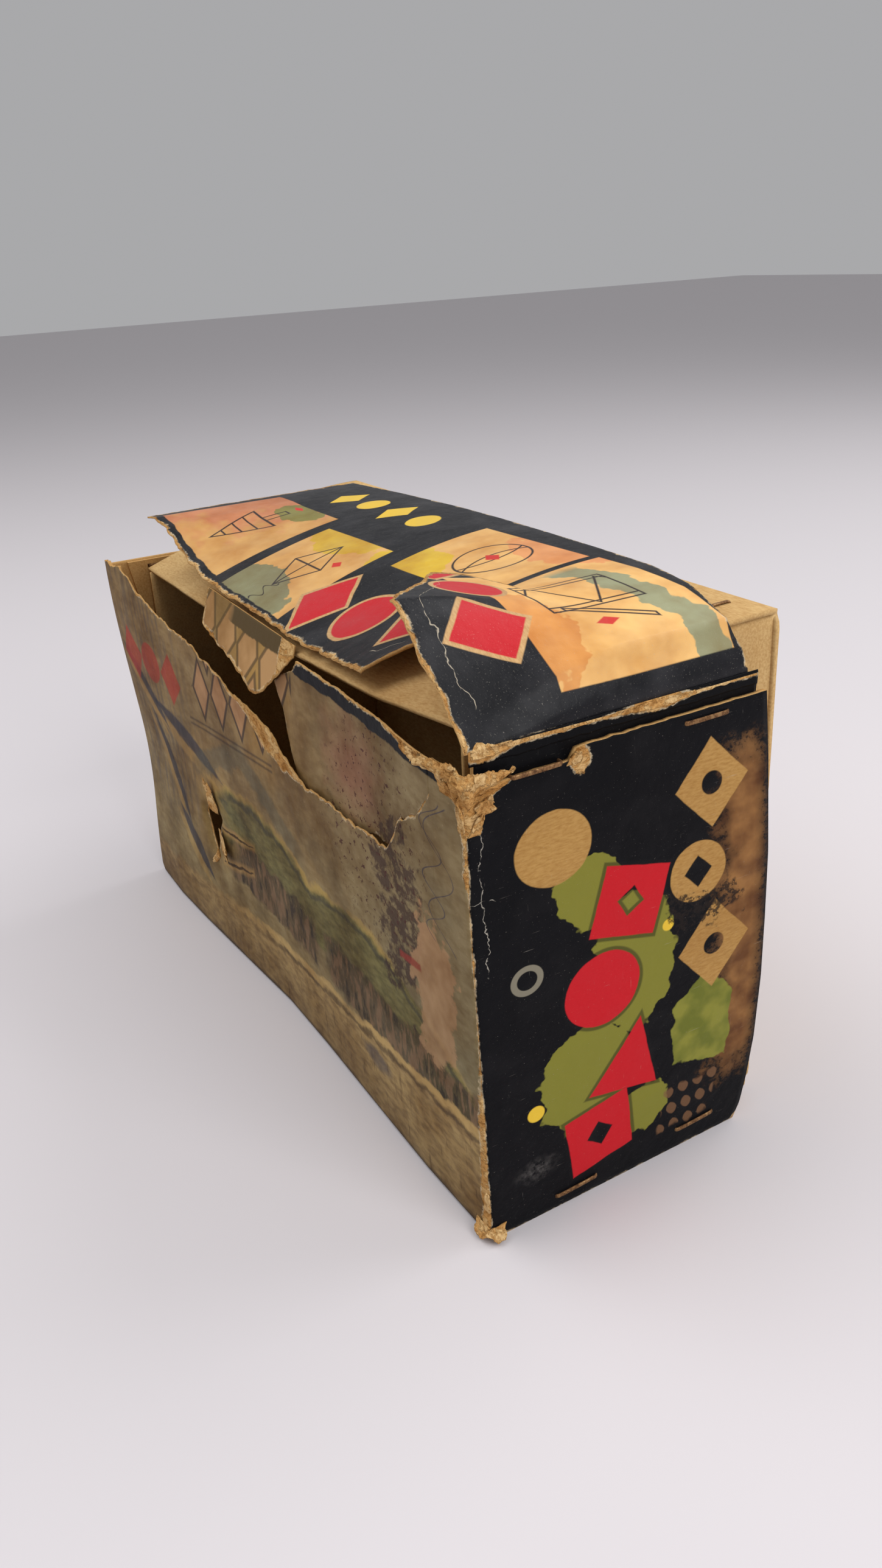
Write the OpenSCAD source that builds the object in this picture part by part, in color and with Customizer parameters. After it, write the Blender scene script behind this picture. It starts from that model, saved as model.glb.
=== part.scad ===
// Worn two-piece cardboard toy carton: a printed lift-off lid over a plain tray.
// The carton stands on one long side. Box coordinates run x from the far end to
// the near end, y from the face of the lid back to its rim, and z up. The part's
// origin is on the standing surface, under the middle of the lid.

/* [Lid] */
// Length of the lid, outside
lid_l = 220; // [200:1:250]
// Height of the lid as it stands on its long side
lid_h = 116; // [108:1:130]
// Depth of the lid, from its face to its rim
lid_d = 75; // [68:1:84]
// Thickness of the board
board_t = 1.2; // [0.8:0.1:1.4]
// How far the rim of the end walls bows out past the lid's depth
rim_bow = 5.5; // [0:0.5:7]
// How far the far top corner of the face leans out
corner_lean = 5; // [0:0.5:7]
// How far the strip above the tear leans in at its free corner
strip_lean = 1.6; // [0:0.1:1.6]
// Depth of the tabs that fold behind the end walls
tab_h = 22; // [16:1:26]

/* [Top wall] */
// Height of the top wall's crease above the end wall's edge
crease_rise = 3.5; // [2:0.5:5]
// How high the top wall arches above its crease
arch_rise = 17.7; // [17:0.1:20]
// How much of the far end of the top wall has torn away
lost_l = 22; // [16:1:28]
// Height of the torn piece of the face that hangs from the top wall
flap_h = 17; // [12:0.5:19]
// How far that torn piece swings out from upright
flap_tilt = 22; // [12:1:30]

/* [Tray] */
// Length of the tray, outside
tray_l = 208.5; // [190:0.5:209]
// Depth of the tray, from its front edge to its back
tray_d = 80.7; // [77:0.1:81]
// Height of the tray at its back
tray_h = 129.3; // [126:0.1:129.5]
// Most height that the top of the tray loses towards its front edge
tray_fall = 18.6; // [17:0.1:20]
// How far the back of the tray stands out of the lid
tray_out = 11.8; // [11.5:0.1:20]
// How far the tray has slid to the near end of the lid
tray_shift = -1.6; // [-2:0.1:1]
// How far the tray sits turned inside the lid
tray_yaw = 1.2; // [0:0.1:1.3]
// How far the tray's end walls sit in from the edges of its other walls
end_inset = 0.8; // [0:0.1:1.5]
// Open slot between each end wall of the tray and its back
end_slot = 2.4; // [0.5:0.1:4]

/* [Staples] */
// Width of a staple's crown
staple_w = 13; // [11:0.5:14]
// Width of the staple wire
wire_w = 1.1; // [0.8:0.1:1.3]
// Thickness of the staple wire
wire_t = 0.6; // [0.4:0.1:0.7]

/* [Hidden] */
$fn = 32;

// The torn outlines are set down on a lid of 220 by 116 by 75 and stretch with it
kx = lid_l / 220;
ky = lid_d / 75;
kz = lid_h / 116;
// Clearance between pieces that move past each other
gap = 0.3;
crease_z = lid_h + crease_rise;
// Upper surface of the top wall at its crease, just clear of the tab below
flap_z = crease_z + gap;

printed = "#3a352c";
black_print = "#1e1e22";
plain = "#cdaf7d";
torn = "#c4a06e";
steel = "#8a6a4c";

// Top edge of the standing part of the face: x, z
TEAR = [[0, 117], [14, 117], [21, 115.6], [26, 112], [31, 109], [40, 106.4], [52, 104],
        [60, 103.4], [68, 102], [71, 100.4], [80, 99], [92, 97], [102, 95.4], [111, 93.6],
        [116, 91], [122, 87], [128, 86], [139, 83.4], [153, 85], [166, 85.2], [179, 86],
        [185, 87], [189, 92], [191, 95.4], [202, 102], [207, 109], [207.6, 116], [220, 116]];
// Where the tear ends and the strip above it joins the face
TEAR_END = 207;
// Left edge of the strip above the tear: z, x
STRIP_EDGE = [[84, 131], [92, 124], [98, 120.6], [106, 128], [112, 134.5], [116, 138]];
// Bow of the face along the surface it stands on: x, y
FOOT_BOW = [[0, -2.6], [23, -3.2], [45, -2.4], [65, -1.3], [87, 0], [107, 1.2], [133, 1],
            [157, 0.4], [192, -0.4], [220, 0]];
// Rim of the near end wall: share of the height, share of the bow
RIM = [[0, -0.2], [0.035, 0.18], [0.1, 0.5], [0.2, 0.82], [0.35, 1], [0.5, 0.98],
       [0.65, 0.9], [0.85, 0.54], [1, 0.18]];
// Rim of the arched top wall: x, share of the rise
TOP_RIM = [[22, 0.797], [60, 0.89], [95, 0.95], [117, 0.965], [141, 0.98], [165, 0.994],
           [186, 1], [193.7, 0.977], [201.7, 0.938], [206.1, 0.87], [209.8, 0.8],
           [214.8, 0.71], [216.3, 0.503], [218, 0.35], [219.2, 0]];
// How far back that rim lies: x, y
TOP_RIM_Y = [[22, 78.2], [95, 76.8], [117, 76.2], [141, 75], [165, 73.5], [185.8, 72],
             [201.7, 70], [209, 68.7], [214.8, 68.2], [218, 70], [219.2, 71.5]];
// Torn front edge of the arched top wall: x, z over the crease
TOP_FRONT = [[22, 13.6], [30, 14.6], [38, 12.8], [46, 8.5], [56, 5.4], [70, 2.6], [101, 1],
             [132, -0.4], [140, -0.2], [159, 1.6], [171, 3.2], [200, 12]];
// Front edge of the raised tongue beside the near crease: x, z over the crease
TONGUE_FRONT = [[160, 22.5], [186, 24], [194, 24.6], [198, 21.8], [204, 16], [214, 5.5],
                [220, 0]];
// Where the far and the near part of the top wall meet or lap: share of the width, x
FAR_LIMIT = [[0, 171], [0.1, 173], [0.3, 182], [0.46, 188], [1, 188]];
NEAR_LIMIT = [[0, 193], [0.06, 187], [0.2, 177], [0.32, 164], [0.42, 167], [0.48, 176],
              [0.52, 188], [1, 188]];

function smooth(t) = let (c = max(0, min(1, t))) c * c * (3 - 2 * c);
function mix(a, b, t) = a + (b - a) * t;
// A torn edge's small steps, the same on every build
function jag(s, size) = size * (0.6 * sin(97 * s) + 0.4 * sin(211 * s + 40));

// ---- Shared shapes ----

// Closed sheet between two equal grids of points
module sheet(outer, inner) {
    rows = len(outer);
    cols = len(outer[0]);
    back = rows * cols;
    function at(r, c) = r * cols + c;
    rim = concat([for (c = [0 : cols - 2]) at(0, c)],
                 [for (r = [0 : rows - 2]) at(r, cols - 1)],
                 [for (c = [cols - 1 : -1 : 1]) at(rows - 1, c)],
                 [for (r = [rows - 1 : -1 : 1]) at(r, 0)]);
    polyhedron(
        points = concat([for (row = outer) each row], [for (row = inner) each row]),
        faces = concat(
            [for (r = [0 : rows - 2], c = [0 : cols - 2])
                each [[at(r, c), at(r, c + 1), at(r + 1, c + 1)],
                      [at(r, c), at(r + 1, c + 1), at(r + 1, c)]]],
            [for (r = [0 : rows - 2], c = [0 : cols - 2])
                each [[back + at(r, c), back + at(r + 1, c + 1), back + at(r, c + 1)],
                      [back + at(r, c), back + at(r + 1, c), back + at(r + 1, c + 1)]]],
            [for (i = [0 : len(rim) - 1])
                let (a = rim[i], b = rim[(i + 1) % len(rim)])
                each [[b, a, back + a], [b, back + a, back + b]]]),
        convexity = 8);
}

// Moves box coordinates to the part's origin
module in_place() {
    translate([-lid_l / 2, -lid_d / 2, 0]) children();
}

// One staple across y, its crown on x = 0 and its legs through the board to -x
module staple(stack) {
    leg = stack + wire_t;
    for (side = [-1, 1])
        translate([-leg, side * (staple_w - wire_w) / 2 - wire_w / 2, -wire_w / 2])
            cube([leg, wire_w, wire_w]);
    translate([0, -staple_w / 2, -wire_w / 2]) cube([wire_t, staple_w, wire_w]);
    clinch = (staple_w - 3 * wire_w) / 2;
    for (side = [-1, 1])
        translate([-leg, side * staple_w / 2 - (side + 1) / 2 * clinch, -wire_w / 2])
            cube([wire_t, clinch, wire_w]);
}

// The two slots that a staple's legs cut
module staple_slots(stack) {
    for (side = [-1, 1])
        translate([-stack - 1, side * (staple_w - wire_w) / 2 - wire_w / 2 - 0.05,
                   -wire_w / 2 - 0.05])
            cube([stack + 2, wire_w + 0.1, wire_w + 0.1]);
}

// ---- Lid ----

LID_STAPLES_TOP = [[15.3 * ky, lid_h - 2.6, 0], [59 * ky, lid_h - 2.3, 0]];
LID_STAPLES_BOTTOM = [[24.3 * ky, 3.6, 2], [60.6 * ky, 5.6, 2]];

// Puts one child at each staple of a row on the near end wall, or on the far one
module on_end(spots, far) {
    for (s = spots)
        translate([far ? 0 : lid_l, s[0], s[1]])
            mirror([far ? 1 : 0, 0, 0])
                rotate([s[2], 0, 0])
                    children();
}

module lid_slots(far) {
    on_end(LID_STAPLES_TOP, far) staple_slots(2 * board_t);
    on_end(LID_STAPLES_BOTTOM, far) staple_slots(2 * board_t);
}

// Outer surface of the face at a place in its plane
function foot_y(x) = lookup(x / kx, FOOT_BOW);
function lean_y(x, z) = -corner_lean * smooth((70 - x / kx) / 70)
                        * smooth((z / kz - 30) / 87);
function face_y(x, z) = foot_y(x) * smooth((60 - z / kz) / 60) + lean_y(x, z);
function tear_z(x) = kz * lookup(x / kx, TEAR) + jag(x, 0.5);
function tear_end_x() = TEAR_END * kx;
// The far bottom corner of the face is worn round
function corner_z(x) = let (r = 7, d = max(0, r - x)) r - sqrt(r * r - d * d);

// Columns of the face's grid, and the last one that is torn
face_cols = 88;
last_torn = floor(tear_end_x() / lid_l * face_cols);

function face_grid(depth) =
    let (rows = 8)
    [for (i = [0 : face_cols])
        let (x = lid_l * i / face_cols,
             low = corner_z(x),
             high = x > tear_end_x() ? lid_h : tear_z(x))
        [for (j = [0 : rows])
            let (z = mix(low, high, j / rows))
            [x, face_y(x, z) + depth, z]]];

// Ragged slit where the face was pushed in: x, z
PUNCTURE = [[59.4, 24.5], [61.2, 31], [62.6, 37], [66, 39.6], [64.2, 42], [66.8, 45.6],
            [67.4, 48.6], [65, 54.5], [63.2, 50.4], [61.4, 47.2], [62.2, 41.4], [60.6, 35.6],
            [59.2, 30]];

module lid_face() {
    color(printed) in_place() difference() {
        sheet(face_grid(0), face_grid(board_t));
        translate([0, board_t + 6, 0]) rotate([90, 0, 0])
            linear_extrude(height = board_t + 12)
                polygon([for (p = PUNCTURE) [p[0] * kx, p[1] * kz]]);
    }
}

// The strip above the tear slips behind the face and leans in at its free corner
function strip_y(x, z) =
    (board_t + 0.1) * smooth((TEAR_END - 2 - x / kx) / 26)
    + strip_lean * smooth((200 - x / kx) / 76) * smooth((z / kz - 88) / 28);
// It laps below the tear only where it lies wholly behind the face
strip_lap = 3;
strip_gap = 0.6;
function strip_low(x) =
    tear_z(x) + strip_gap
    - (strip_lap + strip_gap) * smooth((TEAR_END - 29 - x / kx) / 10)
                              * smooth((x / kx - 122) / 14);
function strip_x(z) = kx * lookup(z / kz, STRIP_EDGE);

function strip_grid(depth) =
    let (cols = 36, rows = 8, z_left = 84 * kz)
    [for (i = [0 : cols])
        [for (j = [0 : rows])
            let (z_edge = mix(z_left, lid_h, j / rows),
                 x_end = lid_l * (last_torn + j / rows) / face_cols - strip_gap / 2,
                 x = mix(strip_x(z_edge) + jag(z_edge, 0.4), x_end, i / cols),
                 high = lid_h - 0.3 + jag(x + 50, 0.5) * smooth(1 - i / cols),
                 z = mix(strip_low(x), high, j / rows))
            [x, strip_y(x, z) + depth, z]]];

module lid_face_strip() {
    color(printed) in_place() sheet(strip_grid(0), strip_grid(board_t));
}

// Rim of an end wall, as far back as it bows at a height
function rim_y(z) = lid_d + rim_bow * lookup(z / lid_h, RIM);

module end_wall(far) {
    steps = 24;
    front = far ? [for (i = [0 : steps]) let (z = lid_h * i / steps)
                       [face_y(0, z) + board_t, z]]
                : [[board_t, 0], [board_t, lid_h]];
    rim = [for (i = [steps : -1 : 0]) let (z = lid_h * i / steps) [rim_y(z), z]];
    in_place() difference() {
        translate([far ? 0 : lid_l - board_t, 0, 0])
            rotate([90, 0, 90]) linear_extrude(height = board_t)
                polygon(concat(front, rim));
        lid_slots(far);
    }
}

module lid_near_end() {
    color(black_print) end_wall(false);
}

module lid_far_end() {
    color(black_print) end_wall(true);
}

module lid_bottom() {
    steps = 40;
    front = [for (i = [0 : steps])
                let (x = mix(board_t, lid_l - board_t, i / steps))
                [x, foot_y(x) + board_t]];
    color(printed) in_place()
        linear_extrude(height = board_t)
            polygon(concat(front, [[lid_l - board_t, rim_y(0)], [board_t, rim_y(0)]]));
}

// Tab behind an end wall: from a crease at z_fold to its free edge at z_free
module end_tab(far, z_fold, z_free) {
    slant = 3;
    in_place() difference() {
        translate([far ? board_t : lid_l - 2 * board_t, 0, 0])
            rotate([90, 0, 90]) linear_extrude(height = board_t)
                polygon([[board_t + 1, z_fold], [lid_d - 2, z_fold],
                         [lid_d - 2 - slant, z_free], [board_t + 1 + slant, z_free]]);
        lid_slots(far);
    }
}

module lid_bottom_near_tab() {
    color(black_print) end_tab(false, board_t, tab_h);
}

module lid_bottom_far_tab() {
    color(black_print) end_tab(true, board_t, tab_h);
}

module lid_top_near_tab() {
    color(black_print) end_tab(false, crease_z - board_t, crease_z - tab_h);
}

// The far tab is still stapled in place, torn off along its crease
module lid_top_far_tab() {
    color(torn) end_tab(true, lid_h - 0.5, crease_z - tab_h);
}

module lid_staples(spots, far) {
    color(steel) in_place() on_end(spots, far) staple(2 * board_t);
}

module lid_staples_near_top() {
    lid_staples(LID_STAPLES_TOP, false);
}

module lid_staples_near_bottom() {
    lid_staples(LID_STAPLES_BOTTOM, false);
}

module lid_staples_far_top() {
    lid_staples(LID_STAPLES_TOP, true);
}

module lid_staples_far_bottom() {
    lid_staples(LID_STAPLES_BOTTOM, true);
}

// ---- Torn top wall, a flap on the near crease ----

function arch_y(x, s) =
    let (shift = 5.6 * smooth((200 - x / kx) / 60))
    mix(shift, ky * lookup(x / kx, TOP_RIM_Y), s);
// Height across the far part, from its front edge (s = 0) to its rim (s = 1)
function far_z(x, s) =
    mix(lookup(x / kx, TOP_FRONT), arch_rise * lookup(x / kx, TOP_RIM),
        sin(90 * pow(s, 0.9)));
// Height across the near part, which is torn free at the front and folded up
function near_z(x, s) =
    let (rim = arch_rise * lookup(x / kx, TOP_RIM),
         tongue = lookup(x / kx, TONGUE_FRONT))
    mix(tongue, rim, smooth(s / 0.62));

function far_grid(depth) =
    let (cols = 56, rows = 14)
    [for (i = [0 : cols])
        [for (j = [0 : rows])
            let (s = j / rows,
                 x = mix(lost_l * kx + jag(s * 30, 0.8), kx * lookup(s, FAR_LIMIT), i / cols),
                 lap = smooth((x / kx - 170) / 18) * smooth((s - 0.4) / 0.12))
            [x, arch_y(x, s), flap_z + mix(far_z(x, s), near_z(x, s), lap) + depth]]];

function near_grid(depth) =
    let (cols = 18, rows = 14)
    [for (i = [0 : cols])
        [for (j = [0 : rows])
            let (s = j / rows,
                 t = pow(i / cols, 0.8),
                 x = mix(kx * lookup(s, NEAR_LIMIT), lid_l - 0.8, t))
            [x, arch_y(x, s), flap_z + near_z(x, s) + depth]]];

module lid_top_wall() {
    color(black_print) in_place() {
        sheet(far_grid(0), far_grid(-board_t));
        sheet(near_grid(0), near_grid(-board_t));
    }
}

// ---- Torn piece of the face, a small flap on the top wall's front edge ----

// Free edge of the torn piece: share along the crease, share of its height
FRAGMENT = [[0, 0.56], [0.14, 0.66], [0.3, 0.72], [0.46, 0.84], [0.6, 0.96], [0.68, 1],
            [0.76, 0.9], [0.84, 0.64], [0.93, 0.34], [1, 0.12]];
FRAGMENT_X = [71, 130];
// The piece turns about the middle of its upper edge, so its corners need this room
turn_room = 0.55 * board_t;

function fragment_grid(depth) =
    let (cols = 24, rows = 5)
    [for (i = [0 : cols])
        let (t = i / cols,
             x = kx * mix(FRAGMENT_X[0], FRAGMENT_X[1], t),
             top = far_z(x, 0) + flap_z - board_t - turn_room,
             drop = flap_h * lookup(t, FRAGMENT) + jag(x, 0.4))
        [for (j = [0 : rows])
            let (d = drop * j / rows)
            [x + 3 * d / flap_h,
             arch_y(x, 0) - d * sin(flap_tilt) + depth * cos(flap_tilt),
             top - d * cos(flap_tilt) + depth * sin(flap_tilt)]]];

module torn_fragment() {
    color(printed) in_place()
        sheet(fragment_grid(-board_t / 2), fragment_grid(board_t / 2));
}

// ---- Tray ----

// Share of the fall that the tray's front edge has lost: share of the half length, share
TRAY_FRONT = [[-1, 0.99], [-0.49, 1], [0.1, 0.86], [0.61, 0.73], [0.87, 0.55], [1, 0.46]];

// Tray coordinates: x from the tray's middle, y from its front edge, z from its bottom.
// The crowns of the lower staples keep clear of the lid's bottom wall.
module in_tray() {
    translate([tray_shift, lid_d / 2 + tray_out - tray_d, board_t + wire_t + gap])
        rotate([0, 0, -tray_yaw])
            children();
}

// Height of the tray's sagging top wall, which levels out towards the back
function tray_z(x, y) =
    tray_h - tray_fall * lookup(2 * x / tray_l, TRAY_FRONT) * (1 - sin(90 * y / tray_d));
function tray_slope(x, y) = atan((tray_z(x, y + 1) - tray_z(x, y - 1)) / 2);

// Sheet that follows the top wall between two lengths and two depths, down by a depth,
// with each side narrowed by a cut
module tray_sheet(x_low, x_high, y_low, y_high, down, cut_low = 0, cut_high = 0) {
    cols = 16;
    rows = 10;
    function grid(drop) =
        [for (i = [0 : cols])
            let (x = mix(x_low, x_high, i / cols), cut = mix(cut_low, cut_high, i / cols))
            [for (j = [0 : rows])
                let (y = mix(y_low + cut, y_high - cut, j / rows))
                [x, y, tray_z(x, y) - drop]]];
    sheet(grid(down), grid(down + board_t));
}

// The base panel's corners are worn round
back_corner_r = 5;

module tray_back() {
    r = back_corner_r;
    color(plain) in_tray()
        translate([0, tray_d, 0]) rotate([90, 0, 0])
            linear_extrude(height = board_t)
                difference() {
                    translate([-tray_l / 2, 0]) square([tray_l, tray_h]);
                    for (side = [-1, 1])
                        translate([side * tray_l / 2, 0])
                            mirror([side > 0 ? 1 : 0, 0])
                                difference() {
                                    square(r);
                                    translate([r, r]) circle(r);
                                }
                }
}

TRAY_STAPLES = [30, 69];
staple_inset = 10;

// Puts children at the staples of the top wall, or of the bottom wall
module on_tray_top(side_list) {
    for (side = side_list, y = TRAY_STAPLES) {
        x = side * (tray_l / 2 - staple_inset);
        translate([x, y, tray_z(x, y)])
            rotate([tray_slope(x, y), 0, 0]) rotate([0, -90, 0]) children();
    }
}

module on_tray_bottom(side_list) {
    for (side = side_list, y = TRAY_STAPLES)
        translate([side * (tray_l / 2 - staple_inset), y, 0])
            rotate([0, 90, 0]) children();
}

module tray_top() {
    color(plain) in_tray() difference() {
        tray_sheet(-tray_l / 2, tray_l / 2, 0, tray_d - board_t, 0);
        on_tray_top([-1, 1]) staple_slots(top_stack);
    }
}

module tray_bottom() {
    color(plain) in_tray() difference() {
        translate([-tray_l / 2, 0, 0]) cube([tray_l, tray_d - board_t, board_t]);
        on_tray_bottom([-1, 1]) staple_slots(2 * board_t);
    }
}

// End wall, its upper edge against the underside of the top wall
module tray_end(side) {
    steps = 16;
    back_y = tray_d - board_t - end_slot;
    outer_x = side * (tray_l / 2 - end_inset);
    top = [for (i = [steps : -1 : 0])
              let (y = back_y * i / steps) [y, tray_z(outer_x, y) - board_t - 2 * curve_room]];
    color(plain) in_tray()
        translate([outer_x - (side + 1) / 2 * board_t, 0, 0])
            rotate([90, 0, 90]) linear_extrude(height = board_t)
                polygon(concat([[0, board_t], [back_y, board_t]], top));
}

module tray_near_end() {
    tray_end(1);
}

module tray_far_end() {
    tray_end(-1);
}

// Tabs of the end walls, folded flat behind the top and the bottom wall
tab_slant = 4;
tab_front = 2;
// Room that the curved tabs need under the curved top wall, and their staples under both
curve_room = 0.1;
top_stack = 2 * board_t + 5 * curve_room;

module tray_top_tab(side) {
    fold_x = tray_l / 2 - end_inset - board_t;
    free_x = tray_l / 2 - tab_h;
    back_y = tray_d - board_t - end_slot;
    color(plain) in_tray() difference() {
        if (side > 0)
            tray_sheet(free_x, fold_x, tab_front, back_y, board_t + curve_room, tab_slant, 0);
        else
            tray_sheet(-fold_x, -free_x, tab_front, back_y, board_t + curve_room, 0, tab_slant);
        on_tray_top([side]) staple_slots(top_stack);
    }
}

module tray_bottom_tab(side) {
    fold_x = tray_l / 2 - end_inset - board_t;
    free_x = tray_l / 2 - tab_h;
    back_y = tray_d - board_t - end_slot;
    color(plain) in_tray() difference() {
        translate([0, 0, board_t]) mirror([side > 0 ? 0 : 1, 0, 0])
            linear_extrude(height = board_t)
                polygon([[fold_x, tab_front], [fold_x, back_y],
                         [free_x, back_y - tab_slant], [free_x, tab_front + tab_slant]]);
        on_tray_bottom([side]) staple_slots(2 * board_t);
    }
}

module tray_near_top_tab() {
    tray_top_tab(1);
}

module tray_far_top_tab() {
    tray_top_tab(-1);
}

module tray_near_bottom_tab() {
    tray_bottom_tab(1);
}

module tray_far_bottom_tab() {
    tray_bottom_tab(-1);
}

module tray_staples_top() {
    color(steel) in_tray() on_tray_top([-1, 1]) staple(top_stack);
}

module tray_staples_bottom() {
    color(steel) in_tray() on_tray_bottom([-1, 1]) staple(2 * board_t);
}

lid_face();
lid_face_strip();
lid_near_end();
lid_far_end();
lid_bottom();
lid_bottom_near_tab();
lid_bottom_far_tab();
lid_top_near_tab();
lid_top_far_tab();
lid_staples_near_top();
lid_staples_near_bottom();
lid_staples_far_top();
lid_staples_far_bottom();
lid_top_wall();
torn_fragment();
tray_back();
tray_top();
tray_bottom();
tray_near_end();
tray_far_end();
tray_near_top_tab();
tray_near_bottom_tab();
tray_far_top_tab();
tray_far_bottom_tab();
tray_staples_top();
tray_staples_bottom();
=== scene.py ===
"""Worn cardboard toy carton: a printed, stapled lid over a plain tray."""
from functools import partial, reduce
from math import cos, exp, pi, radians, sin, sqrt

import bmesh
import bpy
from bpy.props import FloatProperty, FloatVectorProperty, PointerProperty
from mathutils import Matrix, Vector, noise


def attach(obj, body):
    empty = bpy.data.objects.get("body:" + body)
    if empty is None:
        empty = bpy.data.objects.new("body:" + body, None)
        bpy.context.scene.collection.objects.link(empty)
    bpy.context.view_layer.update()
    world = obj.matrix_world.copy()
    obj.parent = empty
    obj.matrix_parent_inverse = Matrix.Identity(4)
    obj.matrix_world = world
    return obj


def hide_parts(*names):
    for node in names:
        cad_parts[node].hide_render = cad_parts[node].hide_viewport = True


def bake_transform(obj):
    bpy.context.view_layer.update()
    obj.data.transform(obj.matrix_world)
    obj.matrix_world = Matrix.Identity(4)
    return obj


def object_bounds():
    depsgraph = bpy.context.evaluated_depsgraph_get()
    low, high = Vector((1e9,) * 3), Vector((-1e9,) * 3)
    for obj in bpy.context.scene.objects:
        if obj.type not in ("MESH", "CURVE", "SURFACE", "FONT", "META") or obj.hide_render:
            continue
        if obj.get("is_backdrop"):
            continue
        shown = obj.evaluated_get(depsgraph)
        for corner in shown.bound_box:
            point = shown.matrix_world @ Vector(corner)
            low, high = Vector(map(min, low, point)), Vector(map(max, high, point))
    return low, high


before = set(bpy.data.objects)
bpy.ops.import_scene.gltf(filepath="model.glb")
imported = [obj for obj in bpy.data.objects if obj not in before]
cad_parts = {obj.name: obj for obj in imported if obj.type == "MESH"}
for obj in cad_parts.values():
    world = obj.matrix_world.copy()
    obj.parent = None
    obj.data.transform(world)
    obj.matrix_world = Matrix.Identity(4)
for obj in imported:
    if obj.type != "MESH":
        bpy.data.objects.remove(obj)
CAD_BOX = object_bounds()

bl_info = {
    "name": "Worn stapled carton",
    "version": (1, 0, 0),
    "blender": (4, 5, 0),
    "location": "View3D > Sidebar > Carton",
    "description": "Builds a torn, printed cardboard lid over a plain tray",
    "category": "Add Mesh",
}

# ---- Sizes and colours ----

MM = 0.001
PANEL = 0.01  # map units to the millimetre
LENGTH, DEPTH, HEIGHT = 220.0, 75.0, 116.0
FOOT = 1.3  # outer radius of the lid's folds
CREASE_Z = 119.8  # upper surface of the top wall at its crease
JOIN = 188.0  # where the top wall's far and near parts join
INTACT = 20.0  # a distance well inside any edge


def linear(*rgb):
    """A plain 0-255 colour as the shader reads it."""
    return [c / 255 / 12.92 if c <= 10 else ((c / 255 + 0.055) / 1.055) ** 2.4
            for c in rgb]


def size(name, text, usual, least, most):
    return FloatProperty(name=name, description=text, default=usual, min=least, max=most,
                         unit="LENGTH")


def colour(name, text, rgb):
    return FloatVectorProperty(name=name, description=text, subtype="COLOR", size=3,
                               min=0.0, max=1.0, default=linear(*rgb))


class CartonSizes(bpy.types.PropertyGroup):
    board: size("Board", "Thickness of the board", 0.0012, 0.0008, 0.0014)
    wire: size("Wire", "Thickness of the staple wire", 0.0006, 0.0004, 0.0008)
    crown: size("Crown", "Width of a staple's crown", 0.013, 0.010, 0.015)


class CartonColours(bpy.types.PropertyGroup):
    black: colour("Black ink", "Ground of the end walls and the top wall", (13, 13, 15))
    board: colour("Bare board", "Torn and unprinted chipboard", (206, 166, 110))
    kraft: colour("Kraft board", "Plain board of the tray", (216, 184, 132))
    red: colour("Red ink", "Shapes on the end walls and the top wall", (190, 32, 40))
    yellow: colour("Yellow ink", "Shapes along the top wall's rim", (222, 184, 60))
    olive: colour("Olive ink", "Hills on the end walls", (125, 122, 50))
    wire: colour("Wire", "Rusted staple wire", (122, 88, 58))


# ---- Outline tables, in millimetres from the lid's far front bottom corner ----

TEAR = ((0, 117), (14, 117), (21, 115.6), (26, 112), (31, 109), (40, 106.4), (52, 104),
        (60, 103.4), (68, 102), (71, 100.4), (80, 99), (92, 97), (102, 95.8), (111, 94.6),
        (116, 93.4), (122, 91.6), (126, 89.4), (131, 87.2), (139, 84.4), (153, 85),
        (166, 85.2), (179, 86), (185, 87), (189, 92), (191, 95.4), (202, 102), (207, 109))
TEAR_END = 207.0
STRIP_EDGE = ((84, 134), (88, 131), (92, 126), (96.4, 121.6), (102, 117), (108, 123.6),
              (111, 128.4), (113, 133), (118, 137))
FOOT_BOW = ((0, -2.6), (23, -3.2), (45, -2.4), (65, -1.3), (87, 0), (107, 1.2), (133, 1),
            (157, 0.4), (192, -0.4), (220, 0))
RIM = ((0, -1.1), (4, 1.0), (11.6, 2.75), (23.2, 4.5), (40.6, 5.5), (58, 5.4), (75.4, 4.95),
       (98.6, 3), (116, 1))
TOP_RIM = ((22, 14.1), (60, 15.75), (95, 16.8), (117, 17.1), (141, 17.35), (165, 17.6),
           (186, 17.7), (193.7, 17.3), (201.7, 16.6), (206.1, 15.4), (209.8, 14.2),
           (214.8, 12.6), (216.3, 8.9), (218, 6.2), (219.2, 0))
TOP_RIM_Y = ((22, 78.2), (95, 76.8), (117, 76.2), (141, 75), (165, 73.5), (185.8, 72),
             (201.7, 70), (209, 68.7), (214.8, 68.2), (218, 70), (219.2, 71.5))
TOP_FRONT = ((22, 13.6), (30, 14.6), (38, 12.8), (46, 8.5), (56, 5.4), (70, 2.6), (101, 1),
             (132, -0.4), (140, -0.2), (159, 1.6), (171, 3.2), (200, 12))
TONGUE_FRONT = ((160, 22.5), (186, 24), (194, 24.6), (198, 21.8), (204, 16), (214, 5.5),
                (220, 0))
FAR_LIMIT = ((0, 171), (0.1, 173), (0.3, 182), (0.46, 188), (1, 188))
NEAR_LIMIT = ((0, 193), (0.06, 187), (0.2, 177), (0.32, 164), (0.42, 167), (0.48, 176),
              (0.52, 188), (1, 188))
FRAGMENT = ((0, 0.56), (0.14, 0.66), (0.3, 0.72), (0.46, 0.84), (0.6, 0.96), (0.68, 1),
            (0.76, 0.9), (0.84, 0.64), (0.93, 0.34), (1, 0.12))
TRAY_FRONT = ((-1, 0.99), (-0.49, 1), (0.1, 0.86), (0.61, 0.73), (0.87, 0.55), (1, 0.46))
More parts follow.
